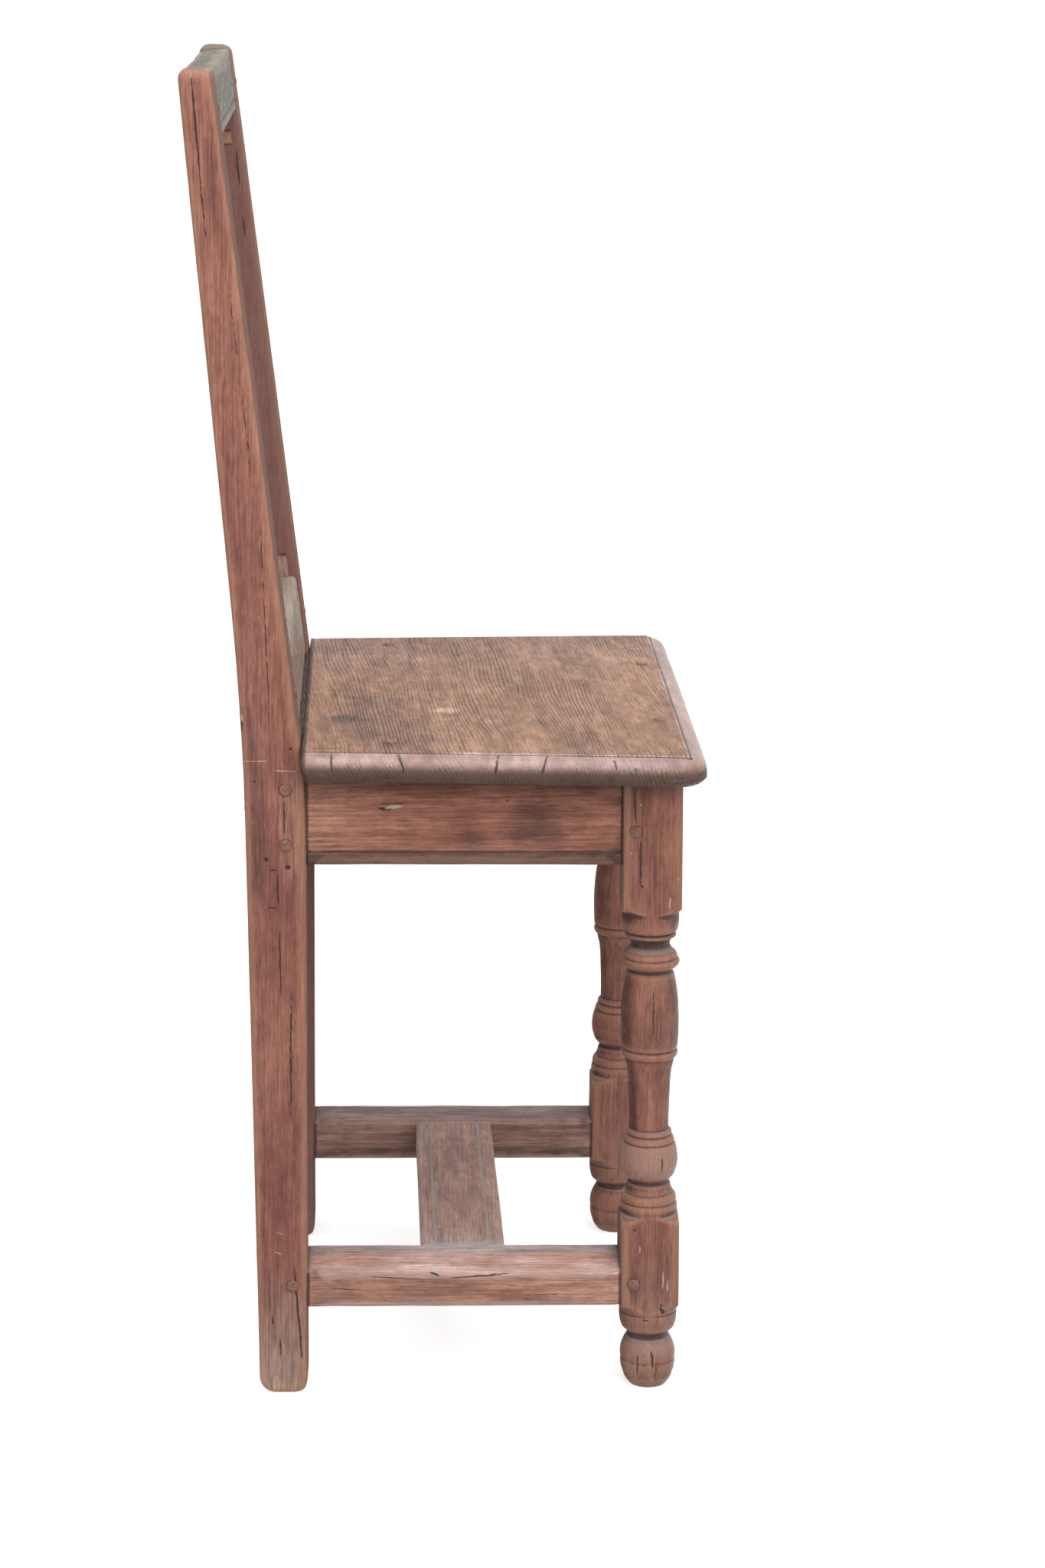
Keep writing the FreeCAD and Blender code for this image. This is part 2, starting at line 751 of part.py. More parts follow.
def front_leg():
    """The right front leg with its mortises and peg holes."""
    leg = leg_blank().cut([side_rail_mortise(True), front_rail_mortise(), stretcher_mortise()])
    return with_peg_holes(leg, "leg_seat_rail_pegs", "front_rail_pegs", "leg_stretcher_pegs")


# All the pieces

pieces = {}
for name, shape in (
    ("rear_post", rear_post()),
    ("front_leg", front_leg()),
    ("seat_rail", with_peg_holes(side_seat_rail(), "leg_seat_rail_pegs", "post_seat_rail_pegs",
                                 "seat_pegs")),
):
    pieces["right_" + name] = shape
    pieces["left_" + name] = mirrored(shape)

# Feet have worn the right stretcher, and the left one much less
for name, wear_drop in (("right_side_stretcher", stretcher_wear_drop),
                        ("left_side_stretcher", left_stretcher_wear_drop)):
    pieces[name] = with_peg_holes(side_stretcher(wear_drop), "leg_stretcher_pegs", "post_stretcher_pegs")
pieces["left_side_stretcher"] = mirrored(pieces["left_side_stretcher"])

pieces["front_seat_rail"] = both_sides(front_seat_rail(), "front_rail_pegs", "seat_pegs")
pieces["rear_seat_rail"] = both_sides(rear_seat_rail(), "rear_rail_pegs")
pieces["seat_board"] = both_sides(seat_board(), "seat_pegs")
pieces["top_rail"] = both_sides(top_rail(), "top_rail_pegs")
pieces["lower_back_rail"] = both_sides(lower_back_rail(), "lower_back_rail_pegs")
pieces["medial_stretcher"] = medial_stretcher()

for name, low, high in (
    ("top_mortise_scraps", old_top_low + scrap_gap, old_top_low + top_scrap_height),
    ("lower_mortise_scraps", lower_tenon_high + scrap_gap, old_lower_high - scrap_gap),
):
    scrap = mortise_scrap(low, high)
    pieces[name] = Part.makeCompound([scrap, mirrored(scrap)])

for name, rows in peg_rows.items():
    driven = [peg(*row) for row in rows]
    pieces[name] = Part.makeCompound(driven + [mirrored(one) for one in driven])

# The origin goes to the floor under the middle of the chair's box
bounds = Part.makeCompound(list(pieces.values())).optimalBoundingBox()
to_origin = Vector(0, -(bounds.YMin + bounds.YMax) / 2, 0)

os.makedirs("parts", exist_ok=True)
for name, shape in pieces.items():
    moved = shape.copy()
    moved.translate(to_origin)
    moved.exportStep("parts/" + name + ".step")
    print(name, len(moved.Solids), "solid", round(moved.Volume / 1000, 1), "cm3",
          "valid" if moved.isValid() else "NOT VALID")
print("box", bounds.XLength, bounds.YLength, bounds.ZLength, "moved by", to_origin.y)
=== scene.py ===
# %% [markdown]
# # A joined oak chair
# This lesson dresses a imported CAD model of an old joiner's chair. The CAD gives every piece its place
# and its size. Blender gives the pieces what a plank, a plane and three centuries leave behind: soft
# arrises, hollows, splits, grain and dust. The frame is loaded first, because every piece is made at
# the place where the CAD holds it, in metres, with Z up and the chair facing -Y.

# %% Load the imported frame
import math

import bpy
import bmesh
import numpy as np
from mathutils import Matrix, Vector


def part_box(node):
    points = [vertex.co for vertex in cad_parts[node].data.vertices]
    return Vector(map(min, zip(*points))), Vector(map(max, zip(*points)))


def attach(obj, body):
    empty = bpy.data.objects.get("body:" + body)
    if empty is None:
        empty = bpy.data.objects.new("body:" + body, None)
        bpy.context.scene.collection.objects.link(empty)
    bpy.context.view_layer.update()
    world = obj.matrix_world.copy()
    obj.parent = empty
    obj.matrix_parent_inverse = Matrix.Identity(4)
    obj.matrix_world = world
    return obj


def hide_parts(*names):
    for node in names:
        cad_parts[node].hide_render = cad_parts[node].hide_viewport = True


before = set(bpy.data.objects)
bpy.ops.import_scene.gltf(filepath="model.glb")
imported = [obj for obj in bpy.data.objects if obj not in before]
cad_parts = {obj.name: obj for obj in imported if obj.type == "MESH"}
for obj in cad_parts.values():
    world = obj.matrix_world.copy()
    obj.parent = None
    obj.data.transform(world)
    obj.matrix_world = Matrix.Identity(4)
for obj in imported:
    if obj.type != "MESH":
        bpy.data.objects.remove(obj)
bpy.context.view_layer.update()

print("CAD nodes:", len(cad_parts))

# %% [markdown]
# ## Sizes
# Lengths are written in millimetres, as on a joiner's rule, and turned into metres when a mesh is made.
# The sizes that the CAD nodes hold are read from their boxes, so this script can't drift away from them.

# %% Sizes read from the frame
MM = 0.001


def span(node):
    """Lowest and highest corner of a CAD node, in millimetres."""
    low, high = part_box(node)
    return np.array(low) / MM, np.array(high) / MM


post_low, post_high = span("right_rear_post")
leg_low, leg_high = span("right_front_leg")
seat_low, seat_high = span("seat_board")
outer_x, inner_x = post_low[0], post_high[0]
post_front_y, leg_rear_y = post_low[1], leg_high[1]
chair_height, seat_top, seat_underside = post_high[2], seat_high[2], leg_high[2]
print("post", post_low.round(1), post_high.round(1), "seat", seat_low.round(1), seat_high.round(1))

# %% [markdown]
# ## The camera
# The photograph was taken from the chair's right side with a long lens, a little above the seat and
# almost level. The lens, the place and the small turns were worked out from the corners of the legs, the
# seat and the posts. The camera looks along its own -Z, so its axes are built from the viewing direction.

# %% Place the camera
camera_data = bpy.data.cameras.new("portrait")
camera_data.lens = 85
camera_data.sensor_width = 36
camera_data.clip_end = 50
camera = bpy.data.objects.new("portrait", camera_data)
bpy.context.scene.collection.objects.link(camera)
yaw, pitch, roll = 0.0407, 0.2460, 0.0117
ahead = Vector((math.cos(pitch) * math.cos(yaw), -math.cos(pitch) * math.sin(yaw), -math.sin(pitch)))
level = Vector((-math.sin(yaw), -math.cos(yaw), 0))
upright = level.cross(ahead)
right = level * math.cos(roll) + upright * math.sin(roll)
upward = upright * math.cos(roll) - level * math.sin(roll)
turn = Matrix((right, upward, -ahead)).transposed().to_4x4()
camera.matrix_world = Matrix.Translation((-2.8390, 0.0512, 1.1495)) @ turn
bpy.context.scene.camera = camera
print("camera looks along", [round(v, 3) for v in ahead])

# %% [markdown]
# ## A bench for node trees
# Shader and geometry trees are wired the same way: add a node, set its values, plug the rest. The bench
# does that in one line. What a socket gives is wrapped as a Value, and a sign between two values adds
# the math node for it, so a tree reads like a sum.

# %% Helpers that wire nodes


class Value:
    """What a socket gives. A sign between two values adds the node that works it out."""

    def __init__(self, bench, socket):
        self.socket = socket
        self.number = socket.type in ("VALUE", "INT")
        self.work = bench.math if self.number else bench.vector

    def __add__(self, other):
        return self.work("ADD", self, other)

    def __sub__(self, other):
        return self.work("SUBTRACT", self, other)

    def __rsub__(self, other):
        return self.work("SUBTRACT", other, self)

    def __mul__(self, other):
        return self.work("MULTIPLY" if self.number or isinstance(other, tuple) else "SCALE", self, other)

    def __truediv__(self, other):
        return self.work("DIVIDE", self, other)


class Bench:
    """Adds nodes to one tree and wires them."""

    def __init__(self, tree):
        self.tree = tree

    def feed(self, socket, value):
        if isinstance(value, Value):
            self.tree.links.new(value.socket, socket)
        else:
            socket.default_value = value

    def add(self, kind, inputs=None, **settings):
        made = self.tree.nodes.new(kind)
        for name, value in settings.items():
            setattr(made, name, value)
        for name, value in (inputs or {}).items():
            self.feed(made.inputs[name], value)
        return made

    def read(self, kind, inputs=None, output=0, **settings):
        """One output of a new node."""
        return Value(self, self.add(kind, inputs, **settings).outputs[output])

    def named(self, kind, inputs=None, **settings):
        """All the outputs of a new node, by name."""
        made = self.add(kind, inputs, **settings)
        return {out.name: Value(self, out) for out in made.outputs if out.name}

    def math(self, operation, *values, clamp=False):
        return self.read("ShaderNodeMath", dict(enumerate(values)), operation=operation, use_clamp=clamp)

    def vector(self, operation, *values):
        slots = (0, "Scale") if operation == "SCALE" else (0, 1)
        number = operation in ("DOT_PRODUCT", "LENGTH", "DISTANCE")
        return self.read("ShaderNodeVectorMath", dict(zip(slots, values)), "Value" if number else "Vector",
                         operation=operation)

    def parts(self, vector):
        return [Value(self, out) for out in self.add("ShaderNodeSeparateXYZ", {0: vector}).outputs]

    def joined(self, x, y, z):
        return self.read("ShaderNodeCombineXYZ", {0: x, 1: y, 2: z})

    def mix(self, factor, first, second):
        return self.read("ShaderNodeMix", {0: factor, 6: first, 7: second}, 2, data_type="RGBA")

    def fade(self, value, start, end, low=0.0, high=1.0):
        """A smooth change from low to high while value goes from start to end."""
        return self.read("ShaderNodeMapRange", {0: value, 1: start, 2: end, 3: low, 4: high},
                         interpolation_type="SMOOTHSTEP")

    def noise(self, vector, scale, detail=2.0, roughness=0.5, output="Fac"):
        return self.read("ShaderNodeTexNoise", {"Vector": vector, "Scale": scale, "Detail": detail,
                                                "Roughness": roughness}, output)

    def normal(self):
        return self.read("ShaderNodeNewGeometry", output="Normal")


def new_tree(name, kind, inputs, outputs):
    """A tree with named sockets. Returns its bench, what its inputs give and their identifiers."""
    tree = bpy.data.node_groups.new(name, kind + "NodeTree")
    identifiers = {}
    for title, sort, value in inputs:
        socket = tree.interface.new_socket(title, in_out="INPUT", socket_type="NodeSocket" + sort)
        if value is not None:
            socket.default_value = value
        identifiers[title] = socket.identifier
    for title, sort in outputs:
        tree.interface.new_socket(title, in_out="OUTPUT", socket_type="NodeSocket" + sort)
    bench = Bench(tree)
    return bench, bench.named("NodeGroupInput"), identifiers


def shade(red, green, blue):
    """A colour read off a screen, from 0 to 255, as Blender's linear colour."""
    def linear(v):
        v /= 255
        return v / 12.92 if v <= 0.04045 else ((v + 0.055) / 1.055) ** 2.4
    return (linear(red), linear(green), linear(blue), 1)


# %% [markdown]
# ## Soft light and a white room
# An old brown chair shows its grain best under an overcast sky: broad light, strongest from above, with
# nothing hard. That also leaves the undersides of the seat and the rails dark, as they are out of doors.
# The world gives a part of it and two big soft lamps the rest. For the camera's own rays and for
# reflections the world is plain white, so the backdrop is white without any more light on the oak.

# %% Light the room
scene = bpy.context.scene
scene.view_settings.view_transform = "Standard"
scene.world = bpy.data.worlds.new("overcast")
scene.world.use_nodes = True
scene.world.node_tree.nodes.clear()
sky = Bench(scene.world.node_tree)


def seen_directly(bench):
    """1 for camera, glossy and transmission rays, 0 for the light that bounces about."""
    rays = bench.named("ShaderNodeLightPath")
    mirrored = bench.math("MAXIMUM", rays["Is Glossy Ray"], rays["Is Transmission Ray"])
    return bench.math("MAXIMUM", rays["Is Camera Ray"], mirrored)


overcast = sky.read("ShaderNodeBackground", {"Color": (0.98, 0.99, 1.0, 1), "Strength": 0.62})
plain_white = sky.read("ShaderNodeBackground", {"Color": (1, 1, 1, 1), "Strength": 1.0})
either = sky.read("ShaderNodeMixShader", {0: seen_directly(sky), 1: overcast, 2: plain_white})
sky.add("ShaderNodeOutputWorld", {"Surface": either})


def softbox(name, place, aim, size, power):
    """A square lamp at place that looks at aim."""
    lamp = bpy.data.lights.new(name, "AREA")
    lamp.shape = "SQUARE"
    lamp.size = size
    lamp.energy = power
    made = bpy.data.objects.new(name, lamp)
    direction = Vector(aim) - Vector(place)
    made.matrix_world = Matrix.Translation(place) @ direction.to_track_quat("-Z", "Y").to_matrix().to_4x4()
    scene.collection.objects.link(made)


softbox("sky_above", (-0.7, -0.3, 3.0), (0, 0, 0.4), 2.4, 34)
softbox("window_side", (-2.6, -0.9, 2.0), (0, 0, 0.5), 1.8, 30)

# %% [markdown]
# ## The floor
# The floor is a broad plane of card. It is lit like the chair, so it keeps the soft shadow under the
# legs. To the camera and to reflections it is white with a little glow, which lifts it to the white of
# the backdrop. To the light that bounces it is a middling grey, as the stones of a yard would be.

# %% Lay the floor
floor_mesh = bpy.data.meshes.new("floor")
floor_mesh.from_pydata([(-20, -20, 0), (20, -20, 0), (20, 20, 0), (-20, 20, 0)], [], [(0, 1, 2, 3)])
floor = bpy.data.objects.new("floor", floor_mesh)
scene.collection.objects.link(floor)
card = bpy.data.materials.new("white_card")
card.use_nodes = True
ground = Bench(card.node_tree)
card_shader = card.node_tree.nodes["Principled BSDF"]
card_shader.inputs["Roughness"].default_value = 0.9
card_shader.inputs["Emission Color"].default_value = (1, 1, 1, 1)
card_seen = seen_directly(ground)
stone_grey, card_white = (0.30, 0.29, 0.28, 1), (0.9, 0.9, 0.9, 1)
ground.feed(card_shader.inputs["Base Color"], ground.mix(card_seen, stone_grey, card_white))
ground.feed(card_shader.inputs["Emission Strength"], card_seen * 0.62)
floor_mesh.materials.append(card)

# %% [markdown]
# ## Oak, from the tree outwards
# Wood is a stack of yearly cones round the pith. If a material measures how far each point of a board
# lies from a pith line outside it, the long grain on the faces, the slanting lines on a wide board and
# the rings on an end all come out of the same sum, and they meet at the arrises. The line wanders a
# little and each ring fades in and out. Oak also has long open pores, which show as short dark dashes.
# Patina is the slow change of tone over a board, mottle a finer one, and flecks are specks of old wax.

# %% The oak group
oak, given, _ = new_tree(
    "oak_figure", "Shader",
    [("Along", "Vector", (0, 0, 0)), ("Ring Width", "Float", 0.003), ("Wander", "Float", 0.005)],
    [(title, "Float") for title in ("Rings", "Pores", "Fibres", "Patina", "Mottle", "Flecks")])
along, ring_width = given["Along"], given["Ring Width"]


def along_grain(lengthwise, crosswise, detail, roughness=0.5, shift=(0, 0, 0)):
    """Noise drawn out along the timber, with its lengthwise and crosswise scales."""
    return oak.noise((along + shift) * (lengthwise, crosswise, crosswise), 1.0, detail, roughness)


long_bend = along_grain(2.2, 8.0, 2.0) - 0.5
short_bend = along_grain(9.0, 55.0, 2.0, shift=(3.1, 0.7, 0.2)) - 0.5
_, off_y, off_z = oak.parts(along)
from_pith = oak.vector("LENGTH", oak.joined(0.0, off_y, off_z))
wandered = from_pith + (long_bend * (given["Wander"] * 8.0) + short_bend * (ring_width * 1.8))
year = oak.math("FRACT", wandered / ring_width)
drawn_ring = oak.fade(year, 0.10, 0.60) * oak.fade(year, 0.70, 1.0, 1.0, 0.0)
patchy = (along_grain(14.0, 190.0, 2.0, 0.6, (0.9, 2.2, 0.4)) * 0.4
          + along_grain(4.5, 20.0, 3.0, 0.6, (1.9, 0.2, 2.4)) * 0.6)
rings_made = drawn_ring * oak.fade(patchy, 0.40, 0.58, 0.12, 1.0)
slow = along_grain(5.0, 16.0, 3.0, 0.6, (1.3, 0.4, 0.9)) * 0.55
streaky = along_grain(11.0, 120.0, 4.0, 0.65, (2.3, 0.1, 1.9)) * 0.45
oak.add("NodeGroupOutput", {
    "Rings": rings_made,
    "Pores": oak.fade(along_grain(80.0, 1500.0, 1.0) + rings_made * 0.07, 0.60, 0.69),
    "Fibres": oak.fade(along_grain(20.0, 620.0, 5.0, 0.72), 0.34, 0.66),
    "Patina": oak.fade(slow + streaky, 0.38, 0.62),
    "Mottle": oak.fade(along_grain(60.0, 130.0, 5.0, 0.7, (0.2, 0.3, 2.9)), 0.36, 0.64),
    "Flecks": oak.fade(along_grain(90.0, 700.0, 2.0, 0.6, (0.2, 1.7, 0.5)), 0.67, 0.76)})
print("oak group:", len(oak.tree.nodes), "nodes")

# %% [markdown]
# ## Wear, dust, grime and painted shade
# Hands and feet polish what stands proud, old wax and soot stay black in what is sunk, and grey dust
# lies on the slopes that look up. The black in grooves and at joints is also painted shade, standing in
# for the shade that falls there. Every mesh gets an attribute named relief, 0 on a flat, more on an
# arris and less in a groove or at a joint. This group breaks it up with noise into three masks.

# %% The wear group
wear, given, _ = new_tree(
    "wear_dust_grime_and_shade", "Shader",
    [("Place", "Vector", (0, 0, 0)), ("Wear", "Float", 0.5), ("Dust", "Float", 0.5),
     ("Grime and Shade", "Float", 0.8)],
    [("Worn", "Float"), ("Dusty", "Float"), ("Grimy and Shaded", "Float")])
relief = wear.read("ShaderNodeAttribute", output="Fac", attribute_name="relief", attribute_type="GEOMETRY")
blotch = wear.noise(given["Place"], 60.0, 3.0, 0.65)
speck = wear.noise(given["Place"], 420.0, 2.0, 0.6)
uneven = relief + 0.5 + ((blotch - 0.5) * 0.30 + (speck - 0.5) * 0.16)
facing = wear.parts(wear.normal())[2]
sloping = wear.fade(facing, 0.15, 0.60) * wear.fade(uneven, 0.51, 0.38)
level_dust = wear.fade(facing, 0.6, 0.95) * wear.fade(speck, 0.45, 0.75, 0.0, 0.5)
wear.add("NodeGroupOutput", {
    "Worn": wear.fade(uneven, 0.58, 0.80) * given["Wear"],
    "Dusty": wear.math("MAXIMUM", sloping, level_dust) * given["Dust"],
    # Grime together with painted shade, dark in grooves and at joints
    "Grimy and Shaded": wear.fade(uneven, 0.36, 0.10) * given["Grime and Shade"]})
print("wear group:", len(wear.tree.nodes), "nodes")

# %% [markdown]
# ## Splits, scratches, worm holes and pegs' painted shadows
# A split runs from one point to another, so one group can draw them all: it measures the distance to
# the line between Start and End and gives 1 inside Width, thinning towards both ends. When both ends
# are the same point it draws a round hole, or the painted shadow round a peg's head. Each material
# places it where that piece has a mark.

# %% The mark group
mark, given, _ = new_tree(
    "mark_on_a_line", "Shader",
    [("Place", "Vector", (0, 0, 0)), ("Start", "Vector", (0, 0, 0)), ("End", "Vector", (0, 0, 0)),
     ("Width", "Float", 0.001), ("Softness", "Float", 0.5)],
    [("Mark", "Float")])
start = given["Start"]
run = given["End"] - start
share = mark.math("DIVIDE", mark.vector("DOT_PRODUCT", given["Place"] - start, run),
                  mark.vector("DOT_PRODUCT", run, run), clamp=True)
away = mark.vector("DISTANCE", given["Place"], start + run * share)
is_line = mark.math("GREATER_THAN", mark.vector("LENGTH", run), 0.001)
belly = mark.math("SQRT", share * 4.0 * (1.0 - share))
reach = given["Width"] * mark.math("MAXIMUM", belly, 1.0 - is_line)
mark.add("NodeGroupOutput", {"Mark": mark.fade(away, reach, reach * (1.0 - given["Softness"]))})
print("mark group:", len(mark.tree.nodes), "nodes")

# %% [markdown]
# ## One recipe for every oak finish
# All the pieces are oak under the same old stain and wax, and still no two look alike: the posts are
# red, the seat is bleached by use, the top rail has gone green-grey. So there is one recipe, with the
# grain's direction, the pith's place and the colours as ingredients. The rings and the fibres carry the
# colour, pores and splits cut into it, sawn ends drink more stain, wear lightens it and dust greys it.
# A wash is a second colour with a rule for its place, such as a band, a cloud or one side of a post.
# Some washes are painted shade or painted highlight.

# %% The oak finish
grain_turns = {"x": (0, 0, 0), "y": (0, 0, -math.pi / 2), "z": (0, math.pi / 2, 0)}
crack_and_shadow_black, grime_and_shade_black, scratch_pale = (34, 22, 20), (50, 36, 32), (222, 198, 186)


def millimetres(point):
    return tuple(float(v) * MM for v in point)


def oak_finish(name, grain, pith, light, dark, worn, dusty=(168, 152, 146), ring=2.6, wander=3.0,
               ring_share=0.15, pore_share=0.35, fleck_share=0.4, patina_share=0.24, wear_share=0.7,
               dust_share=0.3, grime_and_shade_share=0.85, end_share=0.5, roughness=0.56, marks=(), pale_marks=(),
               washes=(), late_washes=(), lean=0.0, polished=None, matt=None):
    """A material for one kind of piece. Pith and marks are in millimetres, colours from 0 to 255."""
    made = bpy.data.materials.new(name)
    made.use_nodes = True
    bench = Bench(made.node_tree)
    shader = made.node_tree.nodes["Principled BSDF"]
    place = bench.read("ShaderNodeTexCoord", output="Object")
    turn_x, turn_y, turn_z = grain_turns[grain]
    turned = bench.read("ShaderNodeMapping", {
        "Vector": place - millimetres(pith),
        "Rotation": (turn_x, turn_y, turn_z + math.radians(lean))}, vector_type="TEXTURE")
    figure = bench.named("ShaderNodeGroup", {"Along": turned, "Ring Width": ring * MM,
                                             "Wander": wander * MM}, node_tree=oak.tree)
    fibres, rings, pores, mottle = (figure[title] for title in ("Fibres", "Rings", "Pores", "Mottle"))
    wearing = bench.named("ShaderNodeGroup", {"Place": place, "Wear": wear_share, "Dust": dust_share,
                                              "Grime and Shade": grime_and_shade_share}, node_tree=wear.tree)
    tone = fibres * (1 - ring_share) + (1.0 - rings) * ring_share
    grain_left = 1.0
    if polished:
        gloss = polished(bench, place)
        grain_left = 1.0 - gloss * 0.85
        tone = (tone - 0.5) * grain_left + 0.5
    colour = bench.mix(tone, shade(*dark), shade(*light))
    if washes:
        contrast = (shade(*dark)[1] / shade(*light)[1]) ** 0.5
        tone_of_wash = bench.fade(tone, 0.0, 1.0, contrast, 1 / contrast)
    for wash, strength, amount in washes:
        colour = bench.mix(amount(bench, place) * strength, colour,
                           bench.vector("SCALE", shade(*wash)[:3], tone_of_wash))
    colour = bench.mix(figure["Patina"], colour * tuple(1 - patina_share * v for v in (0.9, 1.1, 1.15)),
                       colour * (1 + patina_share * 0.45))
    colour = colour * bench.fade(mottle, 0.0, 1.0, 0.88, 1.10)
    across = bench.vector("DOT_PRODUCT", bench.normal(), tuple(float(grain == axis) for axis in "xyz"))
    end_grain = bench.fade(bench.math("ABSOLUTE", across), 0.55, 1.0) * end_share * grain_left
    colour = bench.mix(end_grain, colour, bench.vector("SCALE", shade(*dark)[:3], 0.6))
    colour = bench.mix(pores * pore_share, colour, colour * 0.45)
    rubbed = bench.mix(fibres, bench.vector("SCALE", shade(*worn)[:3], 0.78), shade(*worn))
    colour = bench.mix(wearing["Worn"], colour, rubbed)
    colour = bench.mix(figure["Flecks"] * fleck_share, colour, shade(*worn))
    for wash, strength, amount in late_washes:
        colour = bench.mix(amount(bench, place) * strength, colour, shade(*wash))
    # Grime and painted shade blacken what is sunk
    colour = bench.mix(wearing["Grimy and Shaded"], colour, shade(*grime_and_shade_black))
    colour = bench.mix(wearing["Dusty"], colour, shade(*dusty))
    wobble = bench.noise(place, 160.0, output="Color")
    shaken = place + (wobble - (0.5, 0.5, 0.5)) * 0.0018
    cut = None
    # Dark marks draw splits, holes and the painted shadows round pegs
    for rows, strength, tint in ((marks, 0.92, crack_and_shadow_black), (pale_marks, 0.8, scratch_pale)):
        for start, end, width in rows:
            drawn = bench.read("ShaderNodeGroup", {
                "Place": shaken, "Start": millimetres(start), "End": millimetres(end),
                "Width": width * MM}, node_tree=mark.tree)
            colour = bench.mix(drawn * strength, colour, shade(*tint))
            if rows is marks:
                cut = bench.math("MAXIMUM", cut, drawn) if cut else drawn
    bench.feed(shader.inputs["Base Color"], colour)
    shader.inputs["Specular IOR Level"].default_value = 0.32
    rough = bench.fade(mottle, 0.0, 1.0, roughness + 0.08, roughness - 0.05)
    if polished:
        bench.feed(shader.inputs["Coat Weight"], gloss * 0.7)
        shader.inputs["Coat Roughness"].default_value = 0.30
    if matt:
        rough = rough + matt(bench, place) * 0.35
    rough = bench.math("ADD", rough - wearing["Worn"] * 0.10, wearing["Dusty"] * 0.35, clamp=True)
    bench.feed(shader.inputs["Roughness"], rough)
    height = (fibres * 0.4 - pores * 0.6 - rings * (2.0 * ring_share) + mottle * 0.6) * grain_left
    if cut:
        height = height - cut * 3.0
    bench.feed(shader.inputs["Normal"], bench.read("ShaderNodeBump", {
        "Height": height, "Strength": 0.55, "Distance": 0.0006}))
    return made


# %% [markdown]
# ## Washes
# Each rule for the place of a wash is a small function that adds its own nodes to a material, where 1
# means all of the wash and 0 none. The rules can be multiplied, which leaves the wash where all agree.

# %% Rules for the places of washes


def band(axis, start, end):
    """Grows along one axis, from start to end in millimetres."""
    return lambda bench, place: bench.fade(bench.parts(place)["xyz".index(axis)], start * MM, end * MM)


def clouds(scale, start, end, seed=0.0, stretch=(1.0, 1.0, 1.0)):
    """Cloudy patches."""
    return lambda bench, place: bench.fade(
        bench.noise((place + (seed, seed, seed)) * stretch, scale, 4.0, 0.6), start, end)


def looking(direction):
    """The faces that look in one direction."""
    return lambda bench, place: bench.fade(
        bench.vector("DOT_PRODUCT", bench.normal(), direction), 0.45, 0.85)


def behind_front(start, end):
    """Grows with the distance behind the raked front of a rear post."""
    def amount(bench, place):
        _, y, z = bench.parts(place)
        risen = bench.math("MAXIMUM", z - bend_z * MM, 0.0)
        return bench.fade(y - (risen * rake_slope + post_front_y * MM), start * MM, end * MM)
    return amount


def from_rim(start, end):
    """Grows with the distance in from the rim of the seat."""
    def amount(bench, place):
        x, y, _ = bench.parts(place)
        behind = y - seat_front * MM
        aside = half_front * MM - behind * end_slope - bench.math("ABSOLUTE", x)
        return bench.fade(bench.math("MINIMUM", behind, aside), start * MM, end * MM)
    return amount


def around(middle, radius):
    """A soft round patch with a ragged edge."""
    def amount(bench, place):
        away = bench.vector("DISTANCE", place, millimetres(middle))
        return bench.fade(away / (radius * MM) + bench.noise(place, 45.0, 4.0, 0.65), 1.5, 0.7)
    return amount


def both(*amounts):
    """Only where all of the given rules say so."""
    def amount(bench, place):
        total = amounts[0](bench, place)
        for other in amounts[1:]:
            total = total * other(bench, place)
        return total
    return amount


# %% [markdown]
# ## How the frame has settled
# The joints of the front frame have worked loose over three centuries, and it has racked by up to three
# millimetres. The CAD is square, so one helper gives the shift of any point: nothing at the rear posts,
# all of it at the front legs, and not the same on the left and the right. The marks use it as well.

# %% A helper for the settled frame
leg_middle_x = -(leg_high[0] + leg_low[0]) / 2
front_frame = ("front_leg", "seat_rail", "side_stretcher", "medial_stretcher", "leg_seat_rail_pegs",
               "front_rail_pegs", "leg_stretcher_pegs")


def settled(points):
    """Points of the front frame, in millimetres, where the old joints have let them go."""
    points = np.array(points, float)
    forward = np.clip((post_front_y - points[..., 1]) / (post_front_y - leg_rear_y), 0, 1)
    leftward = np.clip((points[..., 0] + leg_middle_x) / (2 * leg_middle_x), 0, 1)
    right_shift = 0.0128 * (points[..., 2] - 100.0) - 2.0
    points[..., 1] += forward * (right_shift * (1 - leftward) + 2.0 * leftward)
    return points


print("right leg settles by", [round(float(settled((-leg_middle_x, leg_rear_y, z))[1] - leg_rear_y), 2)
                               for z in (0, 250, 490)], "mm at z 0, 250 and 490")

# %% [markdown]
# ## The finishes of the posts and legs
# The colours were chosen against the photograph, one finish for each kind of timber in the chair.
# The marks are the splits, pegs' shadows, scratches and worm holes that this chair has. Most lie on the
# outer faces of the right side, so they are written as places in Y and Z on one face.

# %% Mix the finishes of the posts and legs
bend_z = 478.0
rake_slope = 65.0 / (chair_height - bend_z)
near = outer_x
# Radius of the painted shadow ring round each peg head
peg_shadow_ring = 6.0
leg_peg_y, post_peg_y, foot_peg_y = -144.04, 118.26, 114.26
leg_peg_z, low_peg_z, post_peg_heights = 446.5, 88.0, (478.0, 436.0)


def strokes(x, *rows, slip=0.0):
    """Marks at x, as (y, z, width) for a hole or (y, z, y, z, width) for a line that ends at x + slip."""
    return [((x, *row[:2]), (x + slip, *row[-3:-1]), row[-1]) for row in rows]


